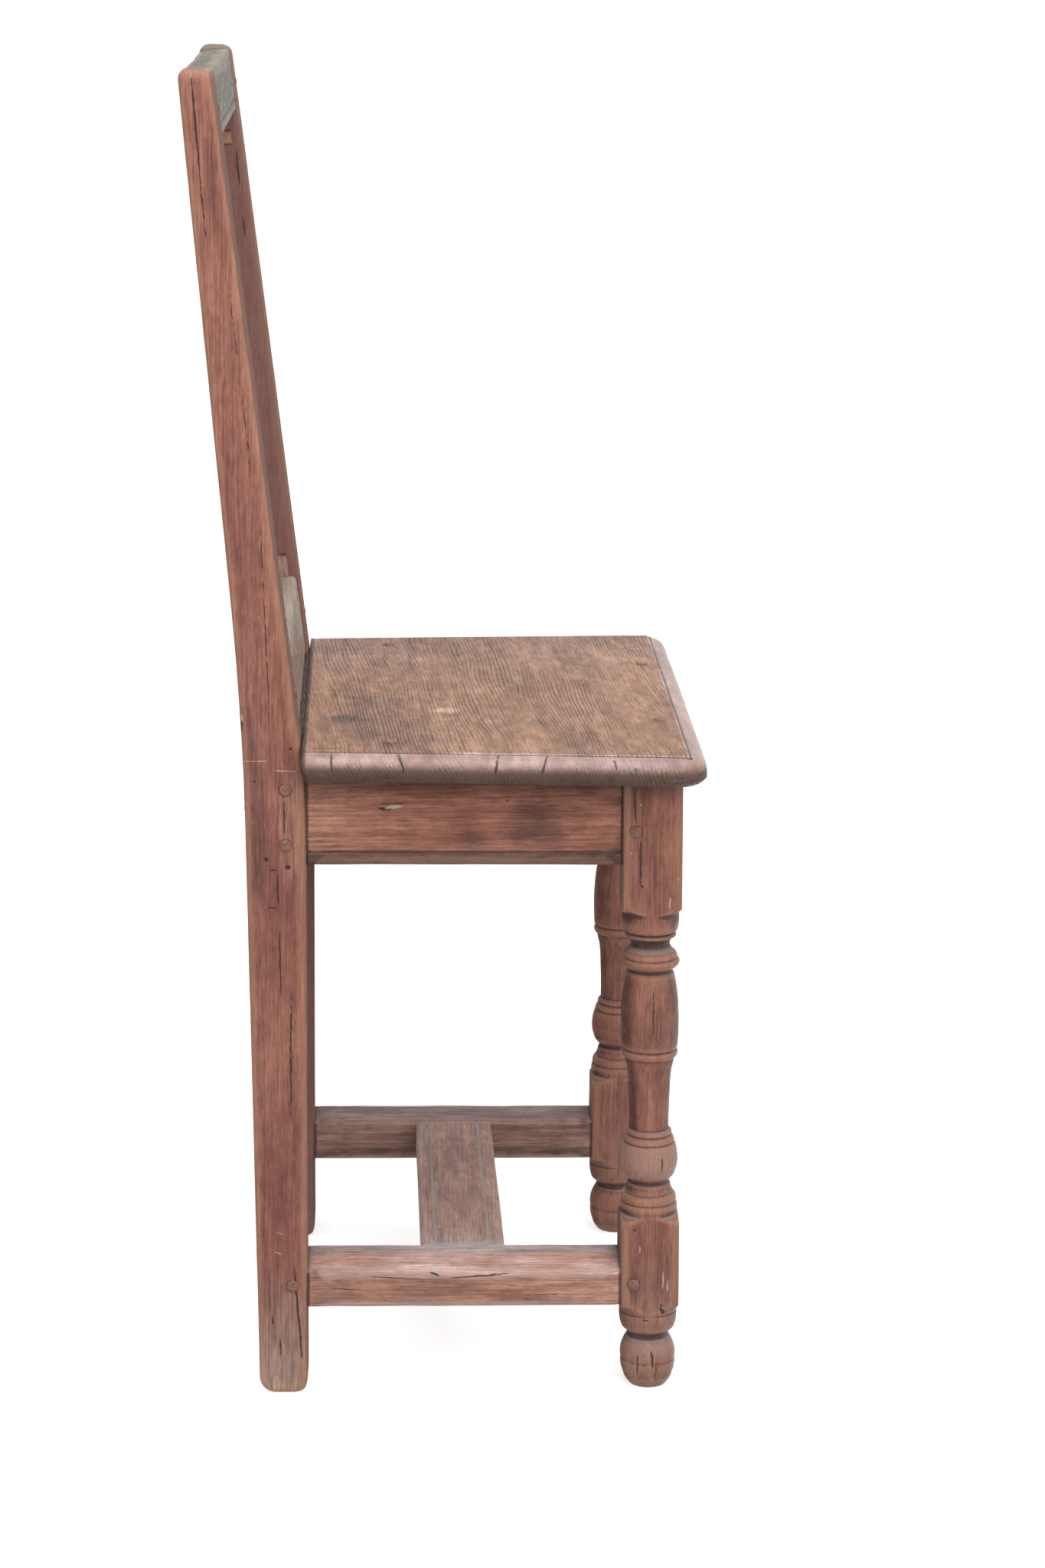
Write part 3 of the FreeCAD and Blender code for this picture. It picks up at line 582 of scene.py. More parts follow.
post_oak = oak_finish(
    "post_oak", "z", (-420, 380, 0), (176, 119, 101), (142, 91, 79), (204, 148, 120), wear_share=0.5,
    marks=strokes(
        near, (182.5, 999, 176.5, 925, 1.0), (178.5, 945, 171.5, 870, 0.7), (158, 860, 150.5, 790, 0.5),
        (149, 780, 141, 700, 0.5), (135.5, 678, 129.5, 530, 0.65), (119.3, 471, 119.3, 443, 0.8),
        (123, 372, 122, 318, 0.8), (114.7, 322, 115.1, 221, 0.8), (113.5, 108, 106.5, 20, 1.1),
        (130, 64, 129.5, 56, 0.9), (124, 46, 123.5, 30, 0.9), (131.3, 417, 124, 417, 0.8),
        (124, 417, 124.1, 388, 0.8), (124.1, 388, 131.5, 388, 0.7), (150.5, 531, 150.5, 520, 1.4),
        *((post_peg_y, z, peg_shadow_ring) for z in post_peg_heights), (foot_peg_y, low_peg_z, peg_shadow_ring),
        (132.4, 425.2, 2.2),
        (116.6, 419.4, 2.4), (114.5, 509.3, 1.2), (140.8, 484.8, 1.2))
    + strokes(-inner_x, (163.6, 921, 160.5, 888, 1.0), (158.5, 868, 157, 850, 0.8)),
    pale_marks=strokes(
        near, (149.4, 500.2, 129.8, 500.2, 0.6), (129.8, 493.2, 105.6, 492.7, 0.6), (146.8, 467.9, 1.0),
        (150, 530, 150, 536, 0.9), (128, 132, 118, 129, 0.5), (129, 117, 119, 112, 0.5)),
    washes=[
        ((150, 100, 90), 0.55, both(behind_front(22, 36), looking((-1, 0, 0)))),
        ((140, 88, 78), 0.55, clouds(13, 0.50, 0.68, 3.0, (1, 1, 0.35))),
        ((186, 130, 108), 0.5, clouds(11, 0.54, 0.70, 8.0, (1, 1, 0.25))),
        ((128, 90, 83), 0.85, both(looking((-1, 0, 0)), band("x", 100, 120))),
        ((140, 110, 96), 0.75, looking((0, -1, 0))),
        ((136, 128, 118), 0.85, both(looking((0, -1, 0)), band("z", 850, 975))),
        ((140, 126, 120), 0.9, looking((0, 0, 1))),
        ((112, 90, 84), 0.6, both(band("z", 985, 998), band("x", 100, 120))),
        ((184, 158, 144), 0.75, both(band("z", 120, 12), looking((-1, 0, 0)))),
        ((122, 76, 70), 0.5, both(clouds(9, 0.56, 0.68, 6.0, (1, 1, 0.3)), band("z", 520, 400))),
        ((186, 128, 108), 0.3, band("z", 640, 800)),
        ((112, 76, 68), 0.5, both(band("z", 392, 402), band("z", 545, 500), behind_front(26, 34))),
        ((190, 142, 124), 0.6, both(band("z", 395, 425), band("z", 505, 470), behind_front(26, 12))),
        ((202, 166, 134), 0.8, band("z", 13, 2))],
    late_washes=[
        ((124, 86, 80), 0.75, both(looking((-1, -0.35, 0)), band("x", 100, 120))),
        ((124, 98, 86), 0.75, both(looking((0, -1, 0)), band("x", -100, -120), band("z", 500, 540))),
        ((128, 118, 112), 0.6, both(band("z", 992, 998), band("x", 100, 120)))],
    matt=looking((0, -1, 0)))

leg_oak = oak_finish(
    "leg_oak", "z", (-330, -420, 0), (168, 114, 96), (134, 88, 74), (192, 138, 112), dust_share=0.6,
    wear_share=0.6, grime_and_shade_share=0.82, patina_share=0.38, fleck_share=0.45, roughness=0.42,
    marks=[(place, place, peg_shadow_ring)
           for place in settled([(near, leg_peg_y, z) for z in (leg_peg_z, low_peg_z)])]
    + strokes(near, (-139.5, 480, -141.5, 452, 0.9), (-144.8, 441, -145.6, 405, 1.0),
              (-141.5, 452, -147, 444, 0.7), (-147, 404.8, 1.4), (-168.1, 71.3, 1.3), (-146.3, 132.5, 1.3),
              (-173.8, 149.5, 1.3), (-166.4, 69.4, -174.2, 59.3, 1.8), (-150.1, 58.8, -158.3, 58.7, 1.0))
    + strokes(near + 1.5, (-160.4, 44.3, -162.6, 18, 1.2))
    + strokes(near + 2, (-157, 330, -157.5, 284, 0.7), slip=-2)
    + strokes(near + 2, (-166, 200, -166.5, 172, 0.9)) + strokes(near + 4, (-151, 192, -151, 170, 0.8))
    + strokes(near + 3, (-172, 36, -172, 14, 0.9), (-150, 34, -151, 12, 0.8), slip=1)
    + strokes(near + 2, (-165, 24, -165, 8, 0.7), (-156, 30, -156.5, 10, 0.6), slip=1)
    + strokes(near + 4, (-147, 190, -147, 174, 0.5)) + strokes(near + 3, (-160, 196, -160, 172, 0.5)),
    pale_marks=strokes(
        near, (-144.6, 467.2, 1.0), (-138.5, 430.2, 0.9), (-173.7, 410.2, 0.9),
        (-167.8, 396.4, -167.9, 387.6, 0.9), (-168.9, 100, -168.9, 84, 0.8), (-172.4, 92, -172.4, 82, 0.7),
        (-150.5, 120, -150.6, 114, 0.7)),
    washes=[
        ((128, 88, 78), 0.6, clouds(12, 0.48, 0.68, 5.0, (1, 1, 0.45))),
        ((178, 122, 96), 0.5, clouds(14, 0.54, 0.70, 2.0, (1, 1, 0.3))),
        # Painted shadow of the seat's overhang on the top of the block, and painted shade on the faces that
        # look back and forward
        ((88, 58, 50), 0.7, band("z", 466, 490)), ((72, 48, 42), 0.75, looking((0, 1, 0))),
        ((88, 60, 50), 0.6, looking((0, -1, 0))),
        # Painted highlight on the near leg's bulb
        ((178, 142, 126), 0.5, both(band("z", 168, 176), band("z", 200, 186), band("x", 60, -60))),
        ((204, 166, 126), 0.8, both(band("z", 34, 24), clouds(60, 0.46, 0.58, 4.0, (1, 1, 0.25)))),
        ((92, 66, 58), 0.7, band("z", 9, 2)), ((154, 118, 106), 0.6, band("z", 126, 60)),
        ((154, 106, 90), 0.5, band("x", 60, 120))],
    late_washes=[
        # Painted highlights on the near leg's ball foot and bulb
        ((176, 146, 134), 0.5, both(band("z", 46, 40), band("z", 24, 34), band("x", 60, -60))),
        ((182, 148, 136), 0.4, both(band("z", 166, 174), band("z", 202, 192), band("x", 60, -60)))],
    matt=looking((0, 1, 0)))
print("finishes:", post_oak.name, len(post_oak.node_tree.nodes), leg_oak.name, len(leg_oak.node_tree.nodes))

# %% [markdown]
# ## The finishes of the rails, stretchers and pegs
# The side rails carry painted shadow of the seat's overhang along their tops and are darker along their
# lower edges. The right stretcher is bleached where feet have worn it, and the back's rails have gone
# grey. Pegs are small, so their rings are set closer.

# %% Mix the finishes of the rails, stretchers and pegs
rail_oak = oak_finish(
    "rail_oak", "y", (-420, 0, 300), (200, 142, 118), (152, 100, 82), (208, 156, 132),
    ring=2.2, ring_share=0.2, patina_share=0.42, pore_share=0.5, wear_share=0.3,
    marks=strokes(near + 3, (50, 467, 30, 468, 0.6), (-46, 470, 1.1), (50, 464, 40, 463, 1.4)),
    pale_marks=strokes(near + 3, (45, 464, 31, 466, 1.6)),
    washes=[
        ((186, 138, 118), 0.6, band("y", 50, 96)),
        ((112, 78, 70), 0.6, both(band("y", -40, -110), clouds(16, 0.42, 0.60, 2.0))),
        ((104, 74, 64), 0.65, around((-186, -66, 452), 30)),
        ((112, 80, 70), 0.5, around((-186, -20, 440), 18)),
        # Painted shadow of the seat's overhang, deepening to black just under the seat
        ((92, 62, 52), 0.6, band("z", 462, 488)), ((50, 34, 30), 0.9, band("z", 482, 489)),
        ((84, 64, 58), 0.9, band("z", 431.5, 429.5)), ((58, 44, 40), 0.8, band("z", 423, 420.5))])
cross_rail_oak = oak_finish(
    "cross_rail_oak", "x", (0, -420, 300), (180, 122, 98), (130, 84, 68), (192, 140, 118),
    ring=2.2, ring_share=0.2, patina_share=0.4)
stretcher_oak = oak_finish(
    "stretcher_oak", "y", (-420, 0, 160), (208, 160, 138), (166, 118, 100), (226, 194, 182),
    dust_share=0.6, patina_share=0.36, pore_share=0.5, wear_share=0.45,
    marks=strokes(near, (14, 101, 2, 96, 1.3), (-4.1, 94, -64.3, 98.6, 0.8), (60, 96, 6, 92.5, 0.5))
    + strokes(near + 6, (-20, 104, -66, 102, 0.9), slip=-1)
    + strokes(near, (90, 86, 60, 85, 0.4), (-60, 80, -110, 81, 0.4)),
    washes=[
        ((182, 168, 166), 0.85, both(looking((0, 0, 1)), band("x", -172, -158))),
        ((118, 98, 92), 0.8, around((near + 2, 6, 99), 10)),
        ((234, 200, 194), 0.85, both(band("z", 94, 98), band("x", -160, -176),
                                     clouds(22, 0.36, 0.56, 3.0, (1, 0.3, 1)))),
        ((150, 112, 98), 0.6, clouds(14, 0.50, 0.68, 7.0, (1, 0.35, 1))),
        ((153, 121, 112), 0.85, band("x", 100, 140)),
        ((92, 68, 61), 0.7, both(band("x", 100, 140), band("z", 84, 76)))])
medial_y = (span("medial_stretcher")[0][1] + span("medial_stretcher")[1][1]) / 2
half_board, line_out = 32.5, 20.5
line_rear, line_front = medial_y + line_out, medial_y - line_out
medial_oak = oak_finish(
    "medial_oak", "x", (0, -420, -60), (204, 160, 144), (166, 124, 110), (222, 204, 196),
    dusty=(190, 184, 184), dust_share=0.75, grime_and_shade_share=0.1, fleck_share=0.9, patina_share=0.34,
    pore_share=0.5, wear_share=0.15,
    pale_marks=[((start, y, 105), (end, y, 105), width) for start, end, y, width in (
        (-150, -20, line_rear, 1.3), (-10, 110, line_rear, 0.9), (-40, 60, line_front, 0.8))],
    washes=[((180, 172, 170), 0.7, band("x", -112, -146))])
back_rail_oak = oak_finish(
    "back_rail_oak", "x", (0, 420, 500), (164, 144, 128), (132, 114, 102), (186, 168, 152),
    patina_share=0.3, wear_share=0.4,
    pale_marks=[((-60, 112, 548), (-20, 113, 552), 0.8), ((-110, 114, 565), (-40, 112, 556), 0.6)],
    washes=[((106, 108, 98), 0.92, band("z", 800, 900)),
            ((164, 112, 92), 0.75, both(band("x", -60, -130), band("z", 800, 700)))])
peg_finish = dict(ring=1.6, end_share=0.1, patina_share=0.1)
peg_oak = oak_finish("peg_oak", "x", (0, 3, 4), (174, 130, 114), (140, 100, 86), (190, 146, 130),
                     **peg_finish)
grey_peg_oak = oak_finish("grey_peg_oak", "x", (0, 3, 4), (160, 130, 114), (122, 96, 84), (180, 150, 134),
                          **peg_finish)
print("finishes:", [m.name for m in bpy.data.materials if m.name.endswith("oak")])

# %% [markdown]
# ## Blanks
# A rail, a post or a stretcher is a section drawn along the timber. So each blank is a row of loops,
# one every few millimetres, joined by quads. That gives an even skin that can be dented and worn later.
# Each corner of a section has an ease, the length that its rounding takes off both sides.

# %% Helpers that saw and plane a blank


def section(corners, steps):
    """A closed outline. A corner is (across, up, ease), and steps tells how many parts its next run has."""
    corners = [(np.array(c[:2], float), float(c[2])) for c in corners]
    count = len(corners)
    loop = []
    ends = []
    for index, (corner, ease) in enumerate(corners):
        before = corners[index - 1][0] - corner
        after = corners[(index + 1) % count][0] - corner
        ends.append((corner + before / np.linalg.norm(before) * ease,
                     corner + after / np.linalg.norm(after) * ease))
    for index, (corner, ease) in enumerate(corners):
        start, end = ends[index]
        for t in (0, 0.33, 0.67, 1) if ease > 0 else (0,):
            loop.append(start * (1 - t) ** 2 + corner * 2 * t * (1 - t) + end * t * t)
        following = ends[(index + 1) % count][0]
        for step in range(1, steps[index]):
            loop.append(end + (following - end) * step / steps[index])
    return np.array(loop)


def face_outward(mesh):
    """Turns every face of a closed mesh outwards and shades it smooth."""
    shell = bmesh.new()
    shell.from_mesh(mesh)
    bmesh.ops.recalc_face_normals(shell, faces=shell.faces)
    shell.to_mesh(mesh)
    shell.free()
    mesh.polygons.foreach_set("use_smooth", [True] * len(mesh.polygons))


def from_faces(name, points, faces, finish):
    """A mesh object from points in millimetres."""
    mesh = bpy.data.meshes.new(name)
    mesh.from_pydata((np.asarray(points) * MM).tolist(), [], faces)
    face_outward(mesh)
    mesh.materials.append(finish)
    made = bpy.data.objects.new(name, mesh)
    scene.collection.objects.link(made)
    return made


def skin(name, loops, finish):
    """A closed mesh through loops of points in millimetres, its ends closed by shrinking rings."""
    shrunk = (0.25, 0.5, 0.75, 0.92)
    first, last = loops[0], loops[-1]
    rows = [first.mean(0) * (1 - factor) + first * factor for factor in shrunk] + loops
    rows += [last.mean(0) * (1 - factor) + last * factor for factor in shrunk[::-1]]
    points = np.concatenate(rows + [first.mean(0)[None], last.mean(0)[None]])
    per_loop = len(first)
    last_row = (len(rows) - 1) * per_loop
    faces = []
    for at in range(per_loop):
        after = (at + 1) % per_loop
        faces += [(row + at, row + after, row + per_loop + after, row + per_loop + at)
                  for row in range(0, last_row, per_loop)]
        faces += [(len(points) - 2, after, at), (len(points) - 1, last_row + at, last_row + after)]
    return from_faces(name, points, faces, finish)


def stops(start, end, step):
    """Evenly spaced stations between two limits."""
    return np.linspace(start, end, max(2, int(round(abs(end - start) / step)) + 1))


def mirrored_loops(loops, side):
    """The loops as they are on the right side, -1, or turned over for the left side, 1."""
    return [loop * np.array((-side, 1, 1), float) for loop in loops]


# %% [markdown]
# ## Weathering
# Nothing on an old chair is flat. Smooth random values, stretched or not, push every point a little
# into the wood: a slow wave for the plane's and the wood's movement, and small bites where the surface
# stands proud, because that is where things knock against it. How proud a point stands is measured by
# comparing it with its neighbours' average. The same measure is kept as the relief for the materials.

# %% Helpers that age a piece


def drift(points, size, seed):
    """Smooth random values from -1 to 1, which change over about size millimetres."""
    spot = points / np.asarray(size, float) + seed * 7.31
    cell = np.floor(spot).astype(np.int64)
    ease = spot - cell
    ease = ease * ease * (3 - 2 * ease)
    total = np.zeros(len(points))
    for corner in np.ndindex(2, 2, 2):
        at = cell + corner
        mixed = (at[:, 0] * 73856093) ^ (at[:, 1] * 19349663) ^ (at[:, 2] * 83492791) ^ (seed * 2654435)
        mixed = ((mixed ^ (mixed >> 13)) * 1274126177) & 0x7FFFFFFF
        weight = np.prod(np.where(corner, ease, 1 - ease), axis=1)
        total += (mixed / 0x3FFFFFFF - 1) * weight
    return total


def mesh_arrays(mesh):
    """Points in millimetres, normals and edges of a mesh."""
    points, normals = np.empty(len(mesh.vertices) * 3), np.empty(len(mesh.vertices) * 3)
    edges = np.empty(len(mesh.edges) * 2, np.int32)
    mesh.vertices.foreach_get("co", points)
    mesh.vertices.foreach_get("normal", normals)
    mesh.edges.foreach_get("vertices", edges)
    return points.reshape(-1, 3) / MM, normals.reshape(-1, 3), edges.reshape(-1, 2)


def move_to(mesh, points):
    """Moves a mesh's vertices to points in millimetres."""
    mesh.vertices.foreach_set("co", (points * MM).ravel())
    mesh.update()


def proudness(points, normals, edges, passes):
    """How far each point stands out of its surroundings, in millimetres."""
    count = len(points)
    ends = np.concatenate([edges[:, 0], edges[:, 1]])
    others = np.concatenate([edges[:, 1], edges[:, 0]])
    valence = np.maximum(np.bincount(ends, minlength=count), 1)
    soft = points.copy()
    for _ in range(passes):
        soft = np.stack([np.bincount(ends, soft[others, axis], count) for axis in range(3)], 1)
        soft /= valence[:, None]
    return ((points - soft) * normals).sum(1)


def aged(made, wave=0.35, bites=0.6, stretch=(1, 1, 1), dents=(), seed=1, gain=1.6, joints=None):
    """Wears a piece and stores its relief. A dent is (place, radius, depth), joints (axis, low, high)."""
    mesh = made.data
    points, normals, edges = mesh_arrays(mesh)
    stretch = np.array(stretch, float)
    proud = proudness(points, normals, edges, 4)
    depth = wave * (0.5 + 0.5 * drift(points, 70 * stretch, seed))
    depth += 0.3 * wave * (0.5 + 0.5 * drift(points, 14 * stretch, seed + 1))
    rough = 0.5 + 0.5 * drift(points, 16 * stretch, seed + 2) + 0.35 * drift(points, 6 * stretch, seed + 3)
    depth += bites * np.clip(proud / 0.5, 0, 1.5) * np.clip(rough, 0, 1) ** 1.5
    for place, radius, deep in dents:
        away = np.linalg.norm(points - np.array(place, float), axis=1) / radius
        depth += deep * np.exp(-away ** 2 * 2)
    move_to(mesh, points - normals * depth[:, None])
    points, normals, edges = mesh_arrays(mesh)
    relief = 0.22 * proudness(points, normals, edges, 6) + 0.10 * proudness(points, normals, edges, 20)
    relief *= gain
    if joints:
        axis, low, high = joints
        to_joint = np.minimum(points[:, axis] - low, high - points[:, axis])
        relief = np.where(relief > 0, relief * np.clip((to_joint - 5) / 9, 0, 1), relief)
        relief -= 0.8 * np.exp(-(np.abs(to_joint) / 1.7) ** 2)
    layer = mesh.attributes.new("relief", "FLOAT", "POINT")
    layer.data.foreach_set("value", np.clip(relief, -0.5, 0.5).astype(np.float32))
    return made


def finished(made, slot, *nodes):
    """Rides a piece on the chair, in place of its CAD nodes."""
    if nodes[0].endswith(front_frame) and nodes[0] != "rear_seat_rail":
        move_to(made.data, settled(mesh_arrays(made.data)[0]))
    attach(made, "root")
    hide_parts(*nodes)
    points = mesh_arrays(made.data)[0]
    print(made.name, len(made.data.polygons), "faces", points.min(0).round(1), points.max(0).round(1))


# %% [markdown]
# ## Rear posts
# Each rear post is sawn from one timber: upright below the seat, raked above it, and thicker at the
# seat, where the mortises are. Its side is drawn by two lines in Y against the height. Where a line
# bends, a parabola eases it. The loops are level slices through the post.

# %% Saw the rear posts


def eased_line(z, bend, ease, slope_below, slope_above):
    """A line that changes its slope at bend, with a parabola between bend - ease and bend + ease."""
    run = np.clip(z - bend + ease, 0, 2 * ease)
    return slope_below * (z - bend) + (slope_above - slope_below) * (
        run ** 2 / (4 * ease) + np.maximum(z - bend - ease, 0))


front_ease, rear_ease = 34.0, 90.0
rear_bend_z, depth_at_bend = 530.0, 47.0
rear_slope_below, rear_slope_above = 9.9 / 530, 43.0 / 470


def post_front(z):
    return post_front_y + eased_line(z, bend_z, front_ease, 0, rake_slope)


def post_rear(z):
    behind = eased_line(z, rear_bend_z, rear_ease, rear_slope_below, rear_slope_above)
    return post_front_y + depth_at_bend + behind


def rounding(distance, radius):
    """How far a rounded end draws back at a distance from it."""
    left = np.clip(radius - distance, 0, radius)
    return radius - np.sqrt(radius ** 2 - left ** 2)


post_loops = []
for z in np.concatenate([[0, 0.3, 0.8, 1.5, 2.4, 3.4], stops(4.6, chair_height - 8, 2.7),
                         chair_height - np.array([6, 4.4, 3, 1.8, 0.9, 0.3, 0])]):
    drawn = rounding(chair_height - z, 6.0)
    top = max(0.0, (z - 960) / 40)
    front = post_front(z) + drawn + rounding(z, 8.0)
    rear = post_rear(z) - drawn - rounding(z, 13.0)
    drawn = drawn * 0.8 + rounding(z, 3.0)
    left, inside = outer_x + drawn, inner_x - drawn
    outline = section(((left, front, 3.0 + top), (inside, front, 2.6 + top), (inside, rear, 2.0 + top),
                       (left, rear, 2.2 + top)), (17, 15, 17, 15))
    post_loops.append(np.column_stack([outline, np.full(len(outline), z)]))
for side, word, seed in ((-1, "right", 3), (1, "left", 8)):
    post = skin(word + "_post", mirrored_loops(post_loops, side), post_oak)
    finished(aged(post, stretch=(1, 1, 3), seed=seed), "post_oak", word + "_rear_post")

# %% [markdown]
# ## Bars between shoulders
# Rails and stretchers are all bars that run along X or Y from shoulder to shoulder. Each goes a little
# way into its neighbours and is drawn in there, so that no pale edge shows beyond the joint. The same
# helper saws, wears and places them all.

# %% A helper that makes a bar
loop_step, drawn_in, joint_play = 2.4, 0.9, 0.6


def across_chair(outline, x):
    """A section of depth and height, placed at x."""
    return np.column_stack([np.full(len(outline), x), outline])


def along_chair(outline, y):
    """A section of width and height, placed at y."""
    return np.column_stack([outline[:, 0], np.full(len(outline), y), outline[:, 1]])


def bar(name, node, slot, outline, placed, finish, side=-1, into=12.0, **ageing):
    """A bar from shoulder to shoulder, in place of its CAD node."""
    axis = 1 if placed is along_chair else 0
    low, high = ((inner_x, -inner_x), (leg_rear_y, post_front_y))[axis]
    middle = outline.mean(0)
    loops = []
    for at in stops(low - into, high + into, loop_step):
        size = 1.0 if low - joint_play <= at <= high + joint_play else drawn_in
        loops.append(placed(middle + (outline - middle) * size, at))
    made = skin(name, mirrored_loops(loops, side), finish)
    stretch = ((3, 1, 1), (1, 3, 1))[axis]
    finished(aged(made, stretch=stretch, joints=(axis, low, high), **ageing), slot, node)


# %% [markdown]
# ## Rails of the seat frame
# The side rails and the front rail are planed boards with one scratched line near the lower edge. The
# line is cut with a scratch stock, so it is part of the section and runs from shoulder to shoulder.

# %% Plane the seat rails
rail_low, rail_high, rail_thick = seat_underside - 70.5, seat_underside, 24.0
line_z = rail_low + 11.0
line_half, line_deep = 1.2, 1.3
rail_recess = 3.0


def scratched_line(at, face):
    """The corners of a scratched line at a height, cut into a face."""
    return (face, at + line_half, 0), (face + line_deep, at, 0), (face, at - line_half, 0)


rail_outline = section(((0, rail_low, 4.0), (rail_thick, rail_low, 1.2), (rail_thick, rail_high, 0.8),
                        (0, rail_high, 0.8), *scratched_line(line_z, 0)), (9, 27, 9, 22, 1, 1, 3))
for side, word, seed in ((-1, "right", 11), (1, "left", 14)):
    bar(word + "_side_rail", word + "_seat_rail", "rail_oak", rail_outline + (outer_x + rail_recess, 0),
        along_chair, rail_oak, side, bites=0.4, seed=seed)
bar("front_rail", "front_seat_rail", "rail_oak", rail_outline + (leg_low[1] + rail_recess, 0), across_chair,
    cross_rail_oak, bites=0.4, seed=17)
rear_low, rear_high = span("rear_seat_rail")
plain = section(((rear_low[1], rail_low, 1.2), (rear_high[1], rail_low, 1.5),
                 (rear_high[1], rail_high, 1.2), (rear_low[1], rail_high, 0.8)), (9, 27, 9, 27))
bar("rear_rail", "rear_seat_rail", "rail_oak", plain, across_chair, cross_rail_oak, bites=0.4, seed=21)

# %% [markdown]
# ## Rails of the back
# The two rails of the back lean with the posts. Their section is drawn upright and then leaned: one
# direction runs up along the rake, the other points back through the thickness.

# %% Lean the back rails
rake = math.atan(rake_slope)


def leaned(outline, x):
    """A section of depth behind the posts' front and run up the rake, placed at x."""
    depth, run = outline[:, 0], outline[:, 1]
    y = post_front_y + depth * math.cos(rake) + run * math.sin(rake)
    z = bend_z + run * math.cos(rake) - depth * math.sin(rake)
    return np.column_stack([np.full(len(outline), x), y, z])


for name, node, low, high, recess, round_top, line, steps, seed in (
        ("top_back_rail", "top_rail", 477.03, 525.03, 0.8, 4.0, 484.53, (9, 16, 8, 12, 1, 1, 2), 24),
        ("low_back_rail", "lower_back_rail", 35.32, 99.82, 2.0, 6.0, 87.82, (9, 22, 8, 2, 1, 1, 17), 27)):
    back = recess + rail_thick
    outline = section(((recess, low, 1.5), (back, low, 1.5), (back, high, round_top / 2),
                       (recess, high, round_top), *scratched_line(line, recess)), steps)
    bar(name, node, "back_rail_oak", outline, leaned, back_rail_oak, seed=seed)

# %% [markdown]
# ## Stretchers
# Feet have rested on the right stretcher for so long that its outer top edge is a slope. The left one
# has lost much less. The medial stretcher that ties them is a flat board with a line near each edge.

# %% Shape the stretchers
bar_low, bar_high, bar_wide = 70.5, 105.5, 45.0
for side, word, worn_down, bites, seed in ((-1, "right", 5.5, 1.0, 31), (1, "left", 1.5, 0.6, 34)):
    outline = section(((outer_x, bar_low, 2.0), (outer_x + bar_wide, bar_low, 1.5),
                       (outer_x + bar_wide, bar_high - 3, 1.5), (outer_x + 42, bar_high, 1.5),
                       (outer_x + 20, bar_high, 2.5), (outer_x, bar_high - worn_down, 3.0)),
                      (17, 10, 2, 8, 7, 9))
    bar(word + "_stretcher", word + "_side_stretcher", "stretcher_oak", outline, along_chair, stretcher_oak,
        side, wave=0.4, bites=bites, seed=seed)

flat_low, flat_high = 80.5, 104.5
corners = [(medial_y - half_board, flat_low, 3.0), (medial_y + half_board, flat_low, 3.0),
           (medial_y + half_board, flat_high, 3.0)]
for line_y in (line_rear, line_front):
    corners += [(line_y + line_half, flat_high, 0), (line_y, flat_high - line_deep, 0),
                (line_y - line_half, flat_high, 0)]
corners.append((medial_y - half_board, flat_high, 3.0))
bar("medial_board", "medial_stretcher", "stretcher_oak", section(corners, (24, 8, 4, 1, 1, 16, 1, 1, 4, 8)),
    across_chair, medial_oak, wave=0.6, seed=37)

# %% [markdown]
# ## The finish of the seat
# The seat is bleached and hollowed in the middle, and its rim is dark and polished by hands. Its round
# nose carries a painted pale highlight on top and painted shade on its lower half, and a painted highlight
# runs beside the scratched line. Splits run over the nose from the end grain, so they are drawn in short
# strokes that follow its curve.

# %% Mix the finish of the seat
seat_front = seat_low[1]
seat_rear = float(post_front(seat_underside)) - 0.4
half_front, half_rear = 232.0, 214.0
corner_round, nose_round, under_bevel, line_inset = 28.0, 12.0, 4.0, 13.5
end_slope = (half_front - half_rear) / (seat_rear - seat_front)
rim = from_rim(14.4, 12.4)


def half_width(y):
    return half_front - end_slope * (y - seat_front)


def over_nose(y, width, slant=0.0, first=-8, last=96):
    """A split that runs from the top over the rounded side of the seat, in overlapping strokes."""
    drawn = []
    for degrees in range(first, last - 44, 29):
        ends = []
        for turned_by in (math.radians(degrees), math.radians(degrees + 46)):
            ends.append((nose_round * (1 - math.sin(turned_by)) - half_width(y), y + slant * turned_by,
                         seat_top - nose_round * (1 - math.cos(turned_by))))
        drawn.append((*ends, width))
    return drawn


def on_top(*rows):
    """Marks on the flat top of the seat, as (x, y, x, y, width)."""
    return [((x, y, 512), (end_x, end_y, 512), width) for x, y, end_x, end_y, width in rows]


